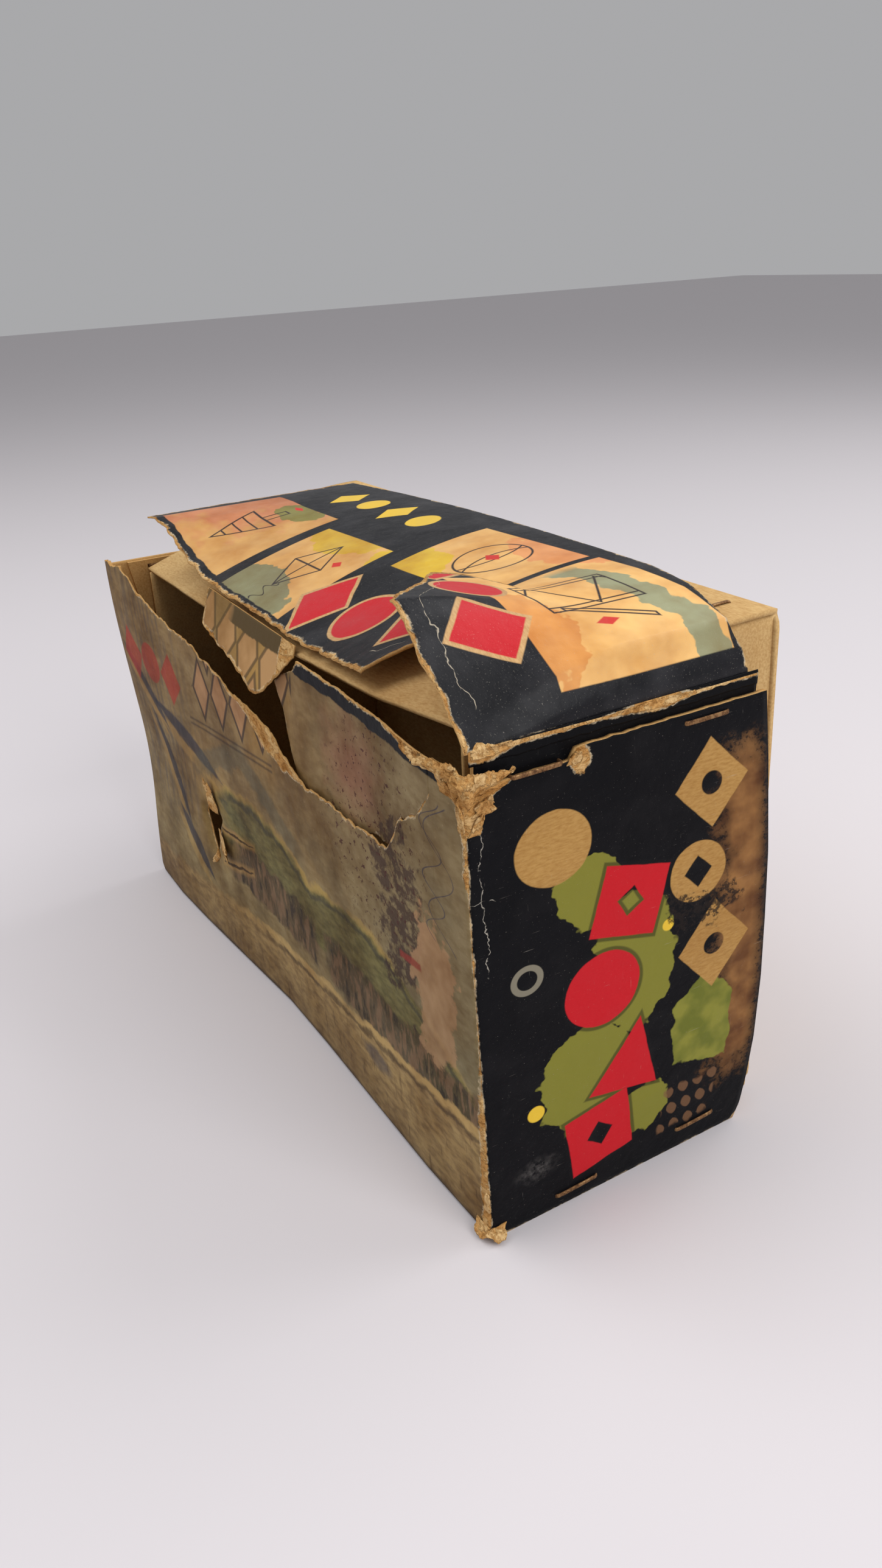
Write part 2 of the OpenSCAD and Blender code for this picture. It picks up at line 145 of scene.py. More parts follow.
# The hole where the face was pushed in: height, left edge, right edge
SLIT = ((31, 62.4, 63.0), (34, 59.6, 63.4), (37, 57.0, 64.4), (41, 54.8, 66.0),
        (44, 54.0, 67.2), (46.5, 54.2, 69.0), (48.5, 57.0, 68.2), (51, 59.4, 63.6),
        (54, 60.2, 60.6))
SLIT_LEFT, SLIT_RIGHT, SLIT_LOW, SLIT_HIGH = 61, 65, 31, 54  # its cells in the grid
# Where the print has peeled round the near top corner: height, edge
PEEL_END = ((104, 0), (105, 1.8), (107, 3.2), (109, 4.4), (111.2, 6), (113, 10.2))
PEEL_FACE = ((90, 220.4), (97, 220), (103, 219.6), (106, 219.2), (109.3, 218),
             (112, 214.8), (114, 211.6))


def at(x, y, z):
    """A point in the row frame, from millimetres in the lid's own corner frame."""
    return Vector(((x - LENGTH / 2) * MM, (y - DEPTH / 2) * MM, z * MM))


def lookup(x, table, column=1):
    """A table's column at x, straight between its rows."""
    if x <= table[0][0]:
        return table[0][column]
    for a, b in zip(table, table[1:]):
        if x <= b[0]:
            return a[column] + (b[column] - a[column]) * (x - a[0]) / (b[0] - a[0])
    return table[-1][column]


def clamp(t):
    return max(0.0, min(1.0, t))


def smooth(t):
    t = clamp(t)
    return t * t * (3 - 2 * t)


def mix(a, b, t):
    return a + (b - a) * t


def rough(s, size, seed):
    """Ragged offset along a torn edge: big bites, small bites and fibres."""
    p = Vector((s, seed, 0.31 * seed))
    return size * (0.9 * noise.noise(p * 0.17) + 0.7 * noise.noise(p * 0.53)
                   + 0.35 * noise.noise(p * 1.61))


def frayed(torn):
    """Share of the board's thickness at a distance inside a torn edge."""
    return mix(0.4, 1, smooth(torn / 2.5))


def wobble(x, y, z):
    """Smooth noise from about -1 to 1."""
    return noise.noise(Vector((x, y, z)))


# ---- Mesh helpers ----


def add(name, data):
    """Puts a new object in the scene."""
    made = bpy.data.objects.new(name, data)
    bpy.context.scene.collection.objects.link(made)
    return made


class Sheet:
    """A mesh put together from grids, each vertex placed by a function."""

    def __init__(self, name):
        self.name = name
        self.bm = bmesh.new()
        self.uv = self.bm.loops.layers.uv.new("panel")
        self.tear = self.bm.verts.layers.float.new("tear")
        self.crease = self.bm.verts.layers.float.new("crease")
        self.ply = self.bm.verts.layers.deform.verify()

    def grid(self, cols, rows, place, keep=None):
        """Adds a grid. place(i, j) gives its point, its panel position in millimetres,
        its distance inside the torn edge, its share of the board's thickness, and on
        some panels its distance from the crease."""
        bm = self.bm
        verts = bmesh.ops.create_grid(bm, x_segments=cols, y_segments=rows,
                                      size=0.5)["verts"]
        faces = {f for v in verts for f in v.link_faces}
        cell = {v: (round((v.co.x + 0.5) * cols), round((v.co.y + 0.5) * rows))
                for v in verts}
        spot = {}
        for v, (i, j) in cell.items():
            point, panel, tear, ply, *crease = place(i, j)
            v.co = point
            v[self.tear] = tear
            v[self.crease] = crease[0] if crease else INTACT
            v[self.ply][0] = ply
            spot[v] = panel
        gone = []
        for f in faces:
            f.smooth = True
            for loop in f.loops:
                u, w = spot[loop.vert]
                loop[self.uv].uv = (u * PANEL, w * PANEL)
            if keep and not keep(*(min(cell[v][k] for v in f.verts) for k in (0, 1))):
                gone.append(f)
        if gone:
            bmesh.ops.delete(bm, geom=gone, context="FACES")

    def done(self, *finishes, board=None):
        """Makes the object, with the carton's board behind its outer surface, or one of
        another thickness. The last finish is that of its inside and its edges."""
        if board is None:
            board = bpy.context.scene.carton_sizes.board
        bmesh.ops.remove_doubles(self.bm, verts=self.bm.verts, dist=0.02 * MM)
        mesh = bpy.data.meshes.new(self.name)
        self.bm.to_mesh(mesh)
        self.bm.free()
        for name in finishes:
            mesh.materials.append(finish(name))
        piece = add(self.name, mesh)
        piece.vertex_groups.new(name="ply")
        if board:
            wall = piece.modifiers.new("board", "SOLIDIFY")
            wall.thickness = board
            wall.offset = -1
            wall.use_even_offset = False
            wall.vertex_group = "ply"
            wall.material_offset = wall.material_offset_rim = len(finishes) - 1
        return piece


def sheet(name, cols, rows, place, *finishes, board=None):
    """A piece made from one even grid. place(a, b) has its shares across and up."""
    made = Sheet(name)
    made.grid(cols, rows, lambda i, j: place(i / cols, j / rows))
    return made.done(*finishes, board=board)


def stops(*parts):
    """Positions along a grid: (from, to, count) runs joined end to end."""
    out = [parts[0][0]]
    for a, b, n in parts:
        out += [a + (b - a) * (k + 1) / n for k in range(n)]
    return out


# ---- Shapes of the lid ----


def near_lean(x, z):
    """How far the face's near edge leans out."""
    return -1.7 * clamp((z - 8) / 82) * smooth((x - 150) / 62)


def face_y(x, z):
    """How far the face bows off its plane."""
    far_lean = -5.0 * smooth((70 - x) / 70) * smooth((z - 30) / 87)
    return lookup(x, FOOT_BOW) * smooth((60 - z) / 60) + far_lean + near_lean(x, z)


def tear_z(x):
    """Height of the tear across the face."""
    return lookup(x, TEAR) + rough(x, 1.1, 3.0)


def strip_y(x, z):
    """How far the strip above the tear stands off the face's plane."""
    behind = near_lean(x, z) + 1.3 * smooth((TEAR_END - 2 - x) / 26)
    behind += 1.3 * smooth((136 - x) / 12) * smooth((z - 88) / 12)
    return behind + 1.6 * smooth((200 - x) / 76) * smooth((z - 88) / 28)


def rim_y(z):
    return DEPTH + lookup(z, RIM)


def corner_z(x):
    """The rounded lower far corner of the face."""
    d = max(0.0, 7.0 - x)
    return 7.0 - sqrt(max(0.0, 49.0 - d * d))


def arch_y(x, s):
    return mix(5.6 * smooth((200 - x) / 60), lookup(x, TOP_RIM_Y), s)


def far_z(x, s):
    return mix(lookup(x, TOP_FRONT), lookup(x, TOP_RIM), sin(pi / 2 * s ** 0.9))


def near_z(x, s):
    return mix(lookup(x, TONGUE_FRONT), lookup(x, TOP_RIM), smooth(s / 0.62))


def top_z(x, s):
    """Height of the far part over the crease, blended into the near part."""
    lap = smooth((x - 170) / 18) * smooth((s - 0.4) / 0.12)
    return mix(far_z(x, s), near_z(x, s), lap)


# ---- Lid ----

ACROSS = stops((-75, -4, 24), (-4, -1.3, 3), (-1.3, 1.3, 6), (1.3, 4, 3), (4, 56, 52),
               (56, 61, 10), (61, 65, 4), (65, 70, 10), (70, 206.9, 136), (206.9, 207, 1),
               (207, 216, 9), (216, 218.7, 3), (218.7, 221.3, 6), (221.3, 224, 3),
               (224, 295, 48))
UP = stops((0, 0.06, 6), (0.06, 0.6, 50), (0.6, 0.96, 24), (0.96, 1, 6))
UNDER = stops((0, 1, 5), (1, 30, 29))
UNDER_ACROSS = [p for p in ACROSS if FOOT <= p <= LENGTH - FOOT]


def fold(p):
    """Point on the band that is folded round the far end, the face and the near end."""
    if p > LENGTH / 2:
        x, y = fold(LENGTH - p)
        return LENGTH - x, y
    if p <= -FOOT:
        return 0.0, -p
    if p < FOOT:
        a = (p + FOOT) / FOOT * pi / 4
        return FOOT - FOOT * cos(a), FOOT - FOOT * sin(a)
    return p, 0.0


def near_slit(p):
    """Whether a place along the band is on the pushed-in stretch."""
    return 50 < p < 76


def slit_x(p, z):
    """Moves grid lines so that they follow the slit in the face."""
    if not near_slit(p):
        return p
    z = max(SLIT_LOW + 0.1, min(SLIT_HIGH - 0.1, z))
    left = lookup(z, SLIT)
    right = max(lookup(z, SLIT, 2), left + 0.25) + rough(z, 0.35, 9.0)
    left += rough(z, 0.35, 5.0)
    return lookup(p, ((50, 50), (SLIT_LEFT, left), (SLIT_RIGHT, right), (76, 76)))


def band_low(p):
    """Lower edge of the band."""
    if p < 0:
        return 7 * (1 - smooth(-p / 6))
    if p <= LENGTH - FOOT:
        return max(corner_z(p), FOOT)
    return FOOT * (1 - smooth((p - LENGTH + FOOT) / (2 * FOOT)))


def band_high(p):
    """Upper edge of the band: torn on the face, cut on the ends, chipped at a staple."""
    if p < TEAR_END - 0.05:
        return mix(HEIGHT, tear_z(p), smooth((p + 2) / 3))
    y = p - LENGTH
    chip = 2.5 * smooth((25 - y) / 1.5) * smooth((y - 2) / 3)
    return HEIGHT - 0.2 - chip + 0.3 * wobble(p * 0.4, 2.0, 0)


def patch(a, b, centre, reach):
    """Distance outside an oval patch where the print has peeled."""
    x, y = (a - centre[0]) / reach[0], (b - centre[1]) / reach[1]
    return (sqrt(x * x + y * y) - 1) * min(reach)


def band_point(p, z):
    """Outer surface of the lid's band at a place along it and a height."""
    x, y = fold(slit_x(p, z))
    if not -4 <= p <= LENGTH + 4:  # an end wall, up to its bowed rim
        y = mix(4, rim_y(z), (y - 4) / (DEPTH - 4))
    if p < 0:
        y += face_y(0, z) * smooth(1 + p / 24)
    elif p < LENGTH + 30:
        y += face_y(x, z) * smooth(1 - (p - LENGTH) / 30)
    if near_slit(p):  # pushed in beside the slit
        near = exp(-((p - 63) / 5) ** 2) * exp(-((z - 42) / 13) ** 2)
        y += near * (2.0 if p < 63 else 0.7)
    return x, y, z


def band(i, j):
    """The far end wall, the face up to its tear and the near end wall, in one piece."""
    p = ACROSS[i]
    low, high = band_low(p), band_high(p)
    z = mix(low, high, UP[j])
    torn = thin = INTACT
    if 14 < p < TEAR_END:
        thin = high - z
        torn = thin + 0.5 - 7.4 * exp(-((p - 117) / 13) ** 2)
    elif p > LENGTH:
        y = p - LENGTH
        torn = min(torn, high - z + 2, rim_y(z) - y + 0.8,
                   max(104 - z, (y - lookup(z, PEEL_END)) * 0.8),
                   patch(y, z, (25.5, 113), (1.6, 2.4)))
    elif p < 0:
        torn = min(torn, high - z + 2, rim_y(z) + p + 0.8)
    if 200 < p <= LENGTH:
        torn = min(torn, (lookup(z, PEEL_FACE) - p) * 0.8 + 0.4 * max(0, 93 - z),
                   patch(p, z, (221.2, 2), (3.2, 38)))
    if near_slit(p):
        slit = (min(abs(p - SLIT_LEFT), abs(p - SLIT_RIGHT))
                + max(0, SLIT_LOW - z, z - SLIT_HIGH))
        torn, thin = min(torn, slit + 0.4), min(thin, slit * 2)
    return at(*band_point(p, z)), (slit_x(p, z), z), torn, mix(0.35, 1, smooth(thin / 3))


def outside_slit(i, j):
    """Whether a cell of the band stays: the pushed-in hole is left open."""
    p = (ACROSS[i] + ACROSS[i + 1]) / 2
    z = mix(FOOT, tear_z(63), (UP[j] + UP[j + 1]) / 2)
    return not (SLIT_LEFT < p < SLIT_RIGHT and SLIT_LOW < z < SLIT_HIGH)


def under(i, j):
    """The bottom wall, folded back from the face's lower edge."""
    p, v = UNDER_ACROSS[i], UNDER[-1 - j]
    r = max(corner_z(p), FOOT)
    a = min(v, 1) * pi / 2
    y = face_y(p, r) + r * (1 - cos(a))
    if v > 1:
        y = mix(y, rim_y(0), (v - 1) / 29)
    return at(p, y, r * (1 - sin(a))), (p, -v * 2.5), INTACT, 1


def strip(a, b):
    """The strip of the face above the tear."""
    edge = mix(84, HEIGHT, b)
    left = lookup(edge, STRIP_EDGE) + rough(edge, 0.9, 11.0)
    x = mix(left, TEAR_END, a ** 0.9)
    lap = 3 * smooth((178 - x) / 10) * smooth((x - 122) / 14)
    high = band_high(TEAR_END) + rough(x, 0.5, 13.0) * smooth(1.2 - a)
    z = mix(tear_z(x) - lap, high, b)
    torn = min(x - left + 0.6, z - tear_z(x) + lap + 0.6,
               high - z + 0.4 - 2.0 * smooth((x - 180) / 30),
               (lookup(z, PEEL_FACE) - x) * 0.8)
    return at(x, strip_y(x, z), z), (x, z), torn, frayed(torn)


def near_tab(a, b):
    """The near end's upper tab, torn along the crease."""
    y = mix(1.6, 74, a)
    low = 98 + 3 * (smooth((6 - y) / 4) + smooth((y - 70) / 4))
    high = 118.8 + rough(y, 0.35, 17.0)
    z = mix(low, high, b)
    x = LENGTH - 1.25 + 0.25 * smooth((z - 116) / 3)
    return at(x, y, z), (y, z), high - z + 0.4, 1


class CARTON_OT_lid(bpy.types.Operator):
    """Builds the lid's folded blank and the strip of its face above the tear"""
    bl_idname = "carton.lid"
    bl_label = "Lid blank"

    def execute(self, context):
        lid = Sheet("lid_blank")
        lid.grid(len(ACROSS) - 1, len(UP) - 1, band, keep=outside_slit)
        for f in lid.bm.faces:  # the end walls are printed apart from the face
            across = sum(loop[lid.uv].uv.x for loop in f.loops) / PANEL / len(f.loops)
            f.material_index = 0 if 0 < across < LENGTH else 1
        lid.grid(len(UNDER_ACROSS) - 1, len(UNDER) - 1, under)
        lid = lid.done("print_face", "print_end", "board")
        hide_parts("lid_face", "lid_near_end", "lid_far_end", "lid_bottom")
        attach(lid, "lid")

        piece = sheet("face_strip", 96, 40, strip, "print_face", "board")
        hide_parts("lid_face_strip")
        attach(piece, "lid")
        return {"FINISHED"}


class CARTON_OT_tabs(bpy.types.Operator):
    """Finishes the lid's stapled tabs and builds the one that shows under the crease"""
    bl_idname = "carton.tabs"
    bl_label = "Lid tabs"

    def execute(self, context):
        piece = sheet("near_tab", 80, 24, near_tab, "print_tab", "board")
        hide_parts("lid_top_near_tab")
        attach(piece, "lid")
        for name in ("lid_bottom_near_tab", "lid_bottom_far_tab", "lid_top_far_tab"):
            coat(name, "board")
        return {"FINISHED"}


# ---- Top wall ----

FAR_COLS, NEAR_COLS, TOP_ROWS = 150, 40, 64
TOP_SHARE = stops((0, 0.06, 6), (0.06, 0.94, 52), (0.94, 1, 6))


def near_arc(x, s, steps=60):
    """Length along the near part from the join to a place on it."""
    total, last = 0.0, near_z(JOIN, s)
    for k in range(1, steps + 1):
        z = near_z(mix(JOIN, x, k / steps), s)
        total += sqrt(((x - JOIN) / steps) ** 2 + (z - last) ** 2)
        last = z
    return total


def far_part(i, j):
    """The top wall from its far edge to its torn middle."""
    s = TOP_SHARE[j]
    left, limit = 22 + rough(s * 75, 1.0, 19.0), lookup(s, FAR_LIMIT)
    limit += rough(s * 75, 0.9, 23.0) * smooth((0.46 - s) / 0.05)
    x = mix(left, limit, i / FAR_COLS)
    ragged = rough(x, 0.8, 29.0) * smooth(1 - s / 0.1)
    torn = min(x - left, s * 72, (1 - s) * 72 + 0.9)
    if s < 0.5:
        torn = min(torn, limit - x)
    point = at(x, arch_y(x, s) + ragged, CREASE_Z + top_z(x, s))
    return point, (x, arch_y(x, s)), torn, frayed(torn)


def near_part(i, j):
    """The top wall by the crease, with the raised tongue."""
    s = TOP_SHARE[j]
    limit = lookup(s, NEAR_LIMIT)
    limit += rough(s * 75, 0.9, 31.0) * smooth((0.5 - s) / 0.05)
    x = mix(limit, LENGTH - 0.8, (i / NEAR_COLS) ** 0.8)
    ragged = rough(x, 0.7, 37.0) * smooth(1 - s / 0.1)
    torn = min(s * 72, (1 - s) * 72 + 0.9)
    if s < 0.5:
        torn = min(torn, x - limit - 0.8)
    point = at(x, arch_y(x, s) + ragged, CREASE_Z + near_z(x, s))
    along = JOIN + near_arc(x, s) if x > JOIN else x
    left = near_arc(LENGTH - 0.8, s) - max(0, along - JOIN)
    return point, (along, arch_y(x, s)), torn, frayed(torn), left


def fragment(a, b):
    """Torn piece of the face that hangs from the top wall's front edge."""
    x = mix(71, 130, a)
    tilt = radians(22)
    top = far_z(x, 0) + CREASE_Z - 1.86
    deep = 17 * lookup(a, FRAGMENT) + rough(x, 0.7, 41.0)
    d = mix(deep, -0.7, b)
    y = arch_y(x, 0) - d * sin(tilt) - 0.6 * cos(tilt)
    z = top - d * cos(tilt) - 0.6 * sin(tilt)
    torn = min(deep - d, a * 59, (1 - a) * 59 - 7 * smooth((a - 0.35) / 0.3))
    x += 3 * d / 17
    return at(x, y, z), (x, HEIGHT - d), torn, frayed(torn)


class CARTON_OT_top_wall(bpy.types.Operator):
    """Builds the arched top wall with its raised tongue, and the torn piece below it"""
    bl_idname = "carton.top_wall"
    bl_label = "Top wall"

    def execute(self, context):
        wall = Sheet("top_wall")
        wall.grid(FAR_COLS, TOP_ROWS, far_part)
        wall.grid(NEAR_COLS, TOP_ROWS, near_part)
        wall = wall.done("print_top", "board")
        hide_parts("lid_top_wall")
        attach(wall, "top_flap")

        # the torn piece wears the face's print, lightened with painted light
        piece = sheet("torn_fragment_print", 60, 24, fragment, "print_fragment", "board")
        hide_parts("torn_fragment")
        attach(piece, "fragment")
        return {"FINISHED"}


# ---- Tray ----

TRAY_HALF, TRAY_DEPTH, TRAY_HEIGHT = 104.25, 80.7, 129.3
TRAY_TURN = Matrix.Rotation(radians(-1.2), 4, "Z")
TRAY_PLACE = Matrix.Translation((-1.6 * MM, (37.5 + 11.8 - TRAY_DEPTH) * MM, 2.1 * MM))
TRAY_FOLD = 1.6
TRAY_ALONG = stops((0, 4, 4), (4, TRAY_DEPTH - TRAY_FOLD, 50))
BACK_DOWN = stops((0, 1, 6), (1, 7, 8), (7, 51, 30), (51, 57, 8), (57, 58, 6))
TRAY_SIDE = stops((-104.25, -98, 6), (-98, 98, 70), (98, 104.25, 6))


def in_tray(x, y, z):
    return TRAY_PLACE @ TRAY_TURN @ (Vector((x, y, z)) * MM)


def tray_z(x, y):
    """Height of the tray's bowed top panel."""
    fall = 18.6 * lookup(x / TRAY_HALF, TRAY_FRONT)
    return TRAY_HEIGHT - fall * (1 - sin(pi / 2 * y / TRAY_DEPTH))


def tray_top(i, j):
    x, y = TRAY_SIDE[i], TRAY_ALONG[j]
    wave = 0.25 * wobble(x * 0.07, 43.0, 0) * smooth(1 - y / 20)
    return in_tray(x, y, tray_z(x, y) + wave), (x, y), y, 1


def back_half(d):
    """Half width of the base panel at a distance from its upper or lower edge."""
    r = 5.0
    d = max(0.0, min(r, d))
    return TRAY_HALF - 0.8 * (r - sqrt(r * r - (r - d) ** 2))


def tray_base(i, j):
    """The base panel with the folds at its upper and lower edge."""
    v, share, f = BACK_DOWN[j], TRAY_SIDE[i] / TRAY_HALF, TRAY_FOLD
    bend = min(v, BACK_DOWN[-1] - v)
    if bend < 1:
        a = bend * pi / 2
        y, z = TRAY_DEPTH - f + f * sin(a), f - f * cos(a)
        z = TRAY_HEIGHT - z if v < 1 else z
        half = mix(TRAY_HALF, back_half(f), smooth(bend))
    else:
        y, z = TRAY_DEPTH, mix(TRAY_HEIGHT - f, f, (v - 1) / (BACK_DOWN[-1] - 2))
        half = back_half(min(z, TRAY_HEIGHT - z))
    x = share * half
    y += 0.35 * wobble(x * 0.02, z * 0.03, 47.0) * smooth(v / 4)
    return in_tray(x, y, z), (x, TRAY_DEPTH + TRAY_HEIGHT - z), INTACT, 1


def tray_floor(i, j):
    x, y = TRAY_SIDE[i], mix(TRAY_DEPTH - TRAY_FOLD, 0, j / 30)
    return in_tray(x, y, 0), (x, TRAY_DEPTH + TRAY_HEIGHT + TRAY_DEPTH - y), INTACT, 1


def tray_end(side):
    """An end wall of the tray: the near one for 1, the far one for -1."""
    def place(a, b):
        x = side * (TRAY_HALF - 0.8)
        y = mix(0, TRAY_DEPTH - 0.7, a if side > 0 else 1 - a)
        z = mix(1.25, tray_z(x, y) - 1.3, b)
        x += side * 0.3 * wobble(y * 0.05, z * 0.04, 51.0)
        return in_tray(x, y, z), (y, z), INTACT, 1
    return place


class CARTON_OT_tray(bpy.types.Operator):
    """Builds the plain tray: a folded blank and two end walls over its CAD tabs"""
    bl_idname = "carton.tray"
    bl_label = "Tray"

    def execute(self, context):
        tray = Sheet("tray_blank")
        tray.grid(len(TRAY_SIDE) - 1, len(TRAY_ALONG) - 1, tray_top)
        tray.grid(len(TRAY_SIDE) - 1, len(BACK_DOWN) - 1, tray_base)
        tray.grid(len(TRAY_SIDE) - 1, 30, tray_floor)
        tray = tray.done("kraft")
        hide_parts("tray_top", "tray_back", "tray_bottom")
        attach(tray, "tray")
        for side, name in ((1, "near"), (-1, "far")):
            end = sheet(f"tray_{name}_wall", 40, 40, tray_end(side), "kraft")
            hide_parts(f"tray_{name}_end")
            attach(end, "tray")
            for level in ("top", "bottom"):
                coat(f"tray_{name}_{level}_tab", "kraft")
        return {"FINISHED"}


# ---- Staples ----

WIRE_RING, WIRE_STEPS = 10, 4
WIRE_BEND, WIRE_WIDTH, WIRE_STACK = 0.7, 1.1, 2.4  # the stack is two boards thick


def wire_path(crown):
    """Centre line of a staple in its own plane: (across, outwards), clinch to clinch."""
    half, deep = (crown - WIRE_WIDTH) / 2, -WIRE_STACK - 0.3
    turn = [pi / 2 * k / WIRE_STEPS for k in range(1, WIRE_STEPS + 1)]
    inner, low, high = half - WIRE_BEND, deep + WIRE_BEND, 0.3 - WIRE_BEND
    side = [(half - 4.1, deep), (inner, deep)]
    side += [(inner + WIRE_BEND * sin(a), low - WIRE_BEND * cos(a)) for a in turn]
    side += [(half, high)]
    side += [(inner + WIRE_BEND * cos(a), high + WIRE_BEND * sin(a)) for a in turn]
    side += [(half * 0.5, 0.36)]
    return side + [(-a, b) for a, b in reversed(side)]


def staples(name, spots):
    """Bent wires. Each spot is a matrix: x outwards, y along the crown."""
    sizes = bpy.context.scene.carton_sizes
    wire = Sheet(name)
    path = wire_path(sizes.crown / MM)
    thick, wide = sizes.wire / MM / 2, WIRE_WIDTH / 2
    for spot in spots:
        def tube(i, j):
            (a, b), (c, d) = path[max(0, i - 1)], path[min(len(path) - 1, i + 1)]
            run = Vector((0, c - a, d - b)).normalized()
            up = Vector((0, -run.z, run.y))
            t = 2 * pi * j / WIRE_RING
            centre = Vector((0, *path[i]))
            p = centre + up * thick * sin(t) + Vector((1, 0, 0)) * wide * cos(t)
            return spot @ (Vector((p.z, p.y, p.x)) * MM), (i, j), INTACT, 1
        wire.grid(len(path) - 1, WIRE_RING, tube)
    bmesh.ops.remove_doubles(wire.bm, verts=wire.bm.verts, dist=0.01 * MM)
    bmesh.ops.holes_fill(wire.bm, edges=wire.bm.edges, sides=WIRE_RING + 2)
    bmesh.ops.recalc_face_normals(wire.bm, faces=wire.bm.faces)
    return wire.done("wire", board=0)


def on_end(y, z, turn, far):
    """Place of a staple on an end wall of the lid."""
    x = 0 if far else LENGTH
    flip = Matrix.Diagonal((-1 if far else 1, 1, 1, 1))
    return (Matrix.Translation(at(x, y, z)) @ flip
            @ Matrix.Rotation(radians(turn), 4, "X"))


def on_tray(side, y, top):
    """Place of a staple on the tray's top or bottom wall."""
    x = side * (TRAY_HALF - 10)
    z = tray_z(x, y) if top else 0
    lean = sin((tray_z(x, y + 1) - tray_z(x, y - 1)) / 2) if top else 0
    spot = TRAY_PLACE @ TRAY_TURN @ Matrix.Translation(Vector((x, y, z)) * MM)
    return (spot @ Matrix.Rotation(lean, 4, "X")
            @ Matrix.Rotation(radians(-90 if top else 90), 4, "Y"))


class CARTON_OT_staples(bpy.types.Operator):
    """Builds the bent wire staples of the lid and of the tray"""
    bl_idname = "carton.staples"
    bl_label = "Staples"

    def execute(self, context):
        rows = {"top": ((15.3, 113.4, 0), (59, 113.7, 0)),
                "bottom": ((24.3, 3.6, 2), (60.6, 5.6, 2))}
        for level, spots in rows.items():
            for end in ("near", "far"):
                made = staples(f"wires_{end}_{level}",
                               [on_end(*s, end == "far") for s in spots])
                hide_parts(f"lid_staples_{end}_{level}")
                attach(made, "lid")
            made = staples(f"wires_tray_{level}",
                           [on_tray(side, y, level == "top")
                            for side in (-1, 1) for y in (30, 69)])
            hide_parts(f"tray_staples_{level}")
            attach(made, "tray")
        return {"FINISHED"}


# ---- Torn scraps ----


def scrap(piece, root, across, along, wide, long, lift, seed, cells=12):
    """A ragged curl of board ply: rooted at a point, free and lifted at its far end."""
    across, along = Vector(across).normalized(), Vector(along).normalized()
    out = across.cross(along)

    def place(i, j):
        a, b = i / cells - 0.5, j / cells
        width = wide * (1 - 0.45 * b * b) + rough(b * long, 0.3 * wide, seed)
        reach = long * (1 + 0.35 * wobble(a * 3.1, seed, 5.0))
        rise = lift * b ** 1.7 + 0.25 * wobble(a * 4, b * 4, seed)
        shift = 0.25 * wide * wobble(b * 2.0, seed, 9.0)
        spot = (Vector(root) + across * (a * width + shift)
                + along * (b * reach - 0.25 * abs(lift) * b ** 3) + out * (rise + 0.1))
        edge = min(b + 0.3, (0.5 - abs(a)) * 3, (1 - b) * 3)
        return at(*spot), (a * wide + 20, b * long), 0, mix(0.35, 1, smooth(edge * 1.6))

    piece.grid(cells, cells, place)


def crumple(piece, start, end, low, out, seed, cells=56, rows=14):
    """Crumpled plies that bulge from the lid's upper edge round its near corner."""

    def place(i, j):
        p, t = mix(start, end, i / cells), j / rows
        share = sin(pi * i / cells) ** 0.5
        wave = wobble(p * 0.45, t * 1.5, seed)
        fine = wobble(p * 1.7, t * 4.0, seed + 3)
        top = HEIGHT - 0.4 + 0.8 * wave + 1.8 * exp(-((p - 216) / 6) ** 2)
        z = mix(top - low * share * (1 + 0.7 * wave), top + 0.6 * fine, t)
        bulge = 0.12 + share * (out * sin(pi * t ** 0.7) * (1 + 0.8 * wave) + 0.3 * fine)
        x, y = fold(p)
        a = clamp((p - LENGTH + FOOT) / (2 * FOOT)) * pi / 2
        bulge = max(bulge, 0.1)
        y += near_lean(LENGTH, z) * smooth(1 - (p - LENGTH) / 30)
        return (at(x + bulge * sin(a), y - bulge * cos(a), z), (p, z), 0,
                mix(0.4, 1, smooth(min(t, 1 - t) * 4)))

    piece.grid(cells, rows, place)


def crease_x(rise, s):
    """Place on the near part that lies so high over the crease."""
    x = LENGTH - 0.85
    while near_z(x, s) < rise:
        x -= 0.03
    return x


def crease_paper(a, b):
    """Ragged paper that still joins the top wall to its stapled tab."""
    y, v = mix(0.8, 73.6, a), 1 - b
    more = exp(-((y - 46) / 7) ** 2) + 1.3 * exp(-((y - 4) / 4) ** 2)
    above = 0.05 + max(0, rough(y, 0.6, 61.0)) + (0.7 + rough(y, 0.5, 63.0)) * more
    below = 0.05 + max(0, rough(y, 0.5, 67.0)) + (0.7 + rough(y, 0.6, 69.0)) * more
    if v < 0.5:
        t, s = 1 - v * 2, min(1, y / 71)
        x = crease_x(above * t, s)
        z = CREASE_Z + near_z(x, s) + 0.05
        x += 0.12 + 0.3 * more * t
    else:
        t = v * 2 - 1
        x = LENGTH - 0.73 + 0.5 * t * more
        z = CREASE_Z - 0.1 - below * t
    return at(x, y, z), (y, v * 4), 0, 1


def crease_fold(a, b):
    """The printed fold itself, split open where the paper above it is torn."""
    y, v = mix(0.4, 73.9, a), 1 - b
    more = exp(-((y - 46) / 8) ** 2) + 1.2 * exp(-((y - 4) / 5) ** 2)
    if v < 0.5:
        t, s = 1 - v * 2, min(1, y / 71)
        away = 0.9 * t
        x = crease_x(away, s)
        x, z = x + 0.1, CREASE_Z + near_z(x, s)
    else:
        t = v * 2 - 1
        away = t * (2.2 + rough(y, 0.3, 71.0))
        x, z = LENGTH - 0.76 - 0.1 * t, CREASE_Z - 0.05 - away
    return at(x, y, z), (y, v * 4), away + 0.5 - 1.5 * more, mix(1, 0.5, t)


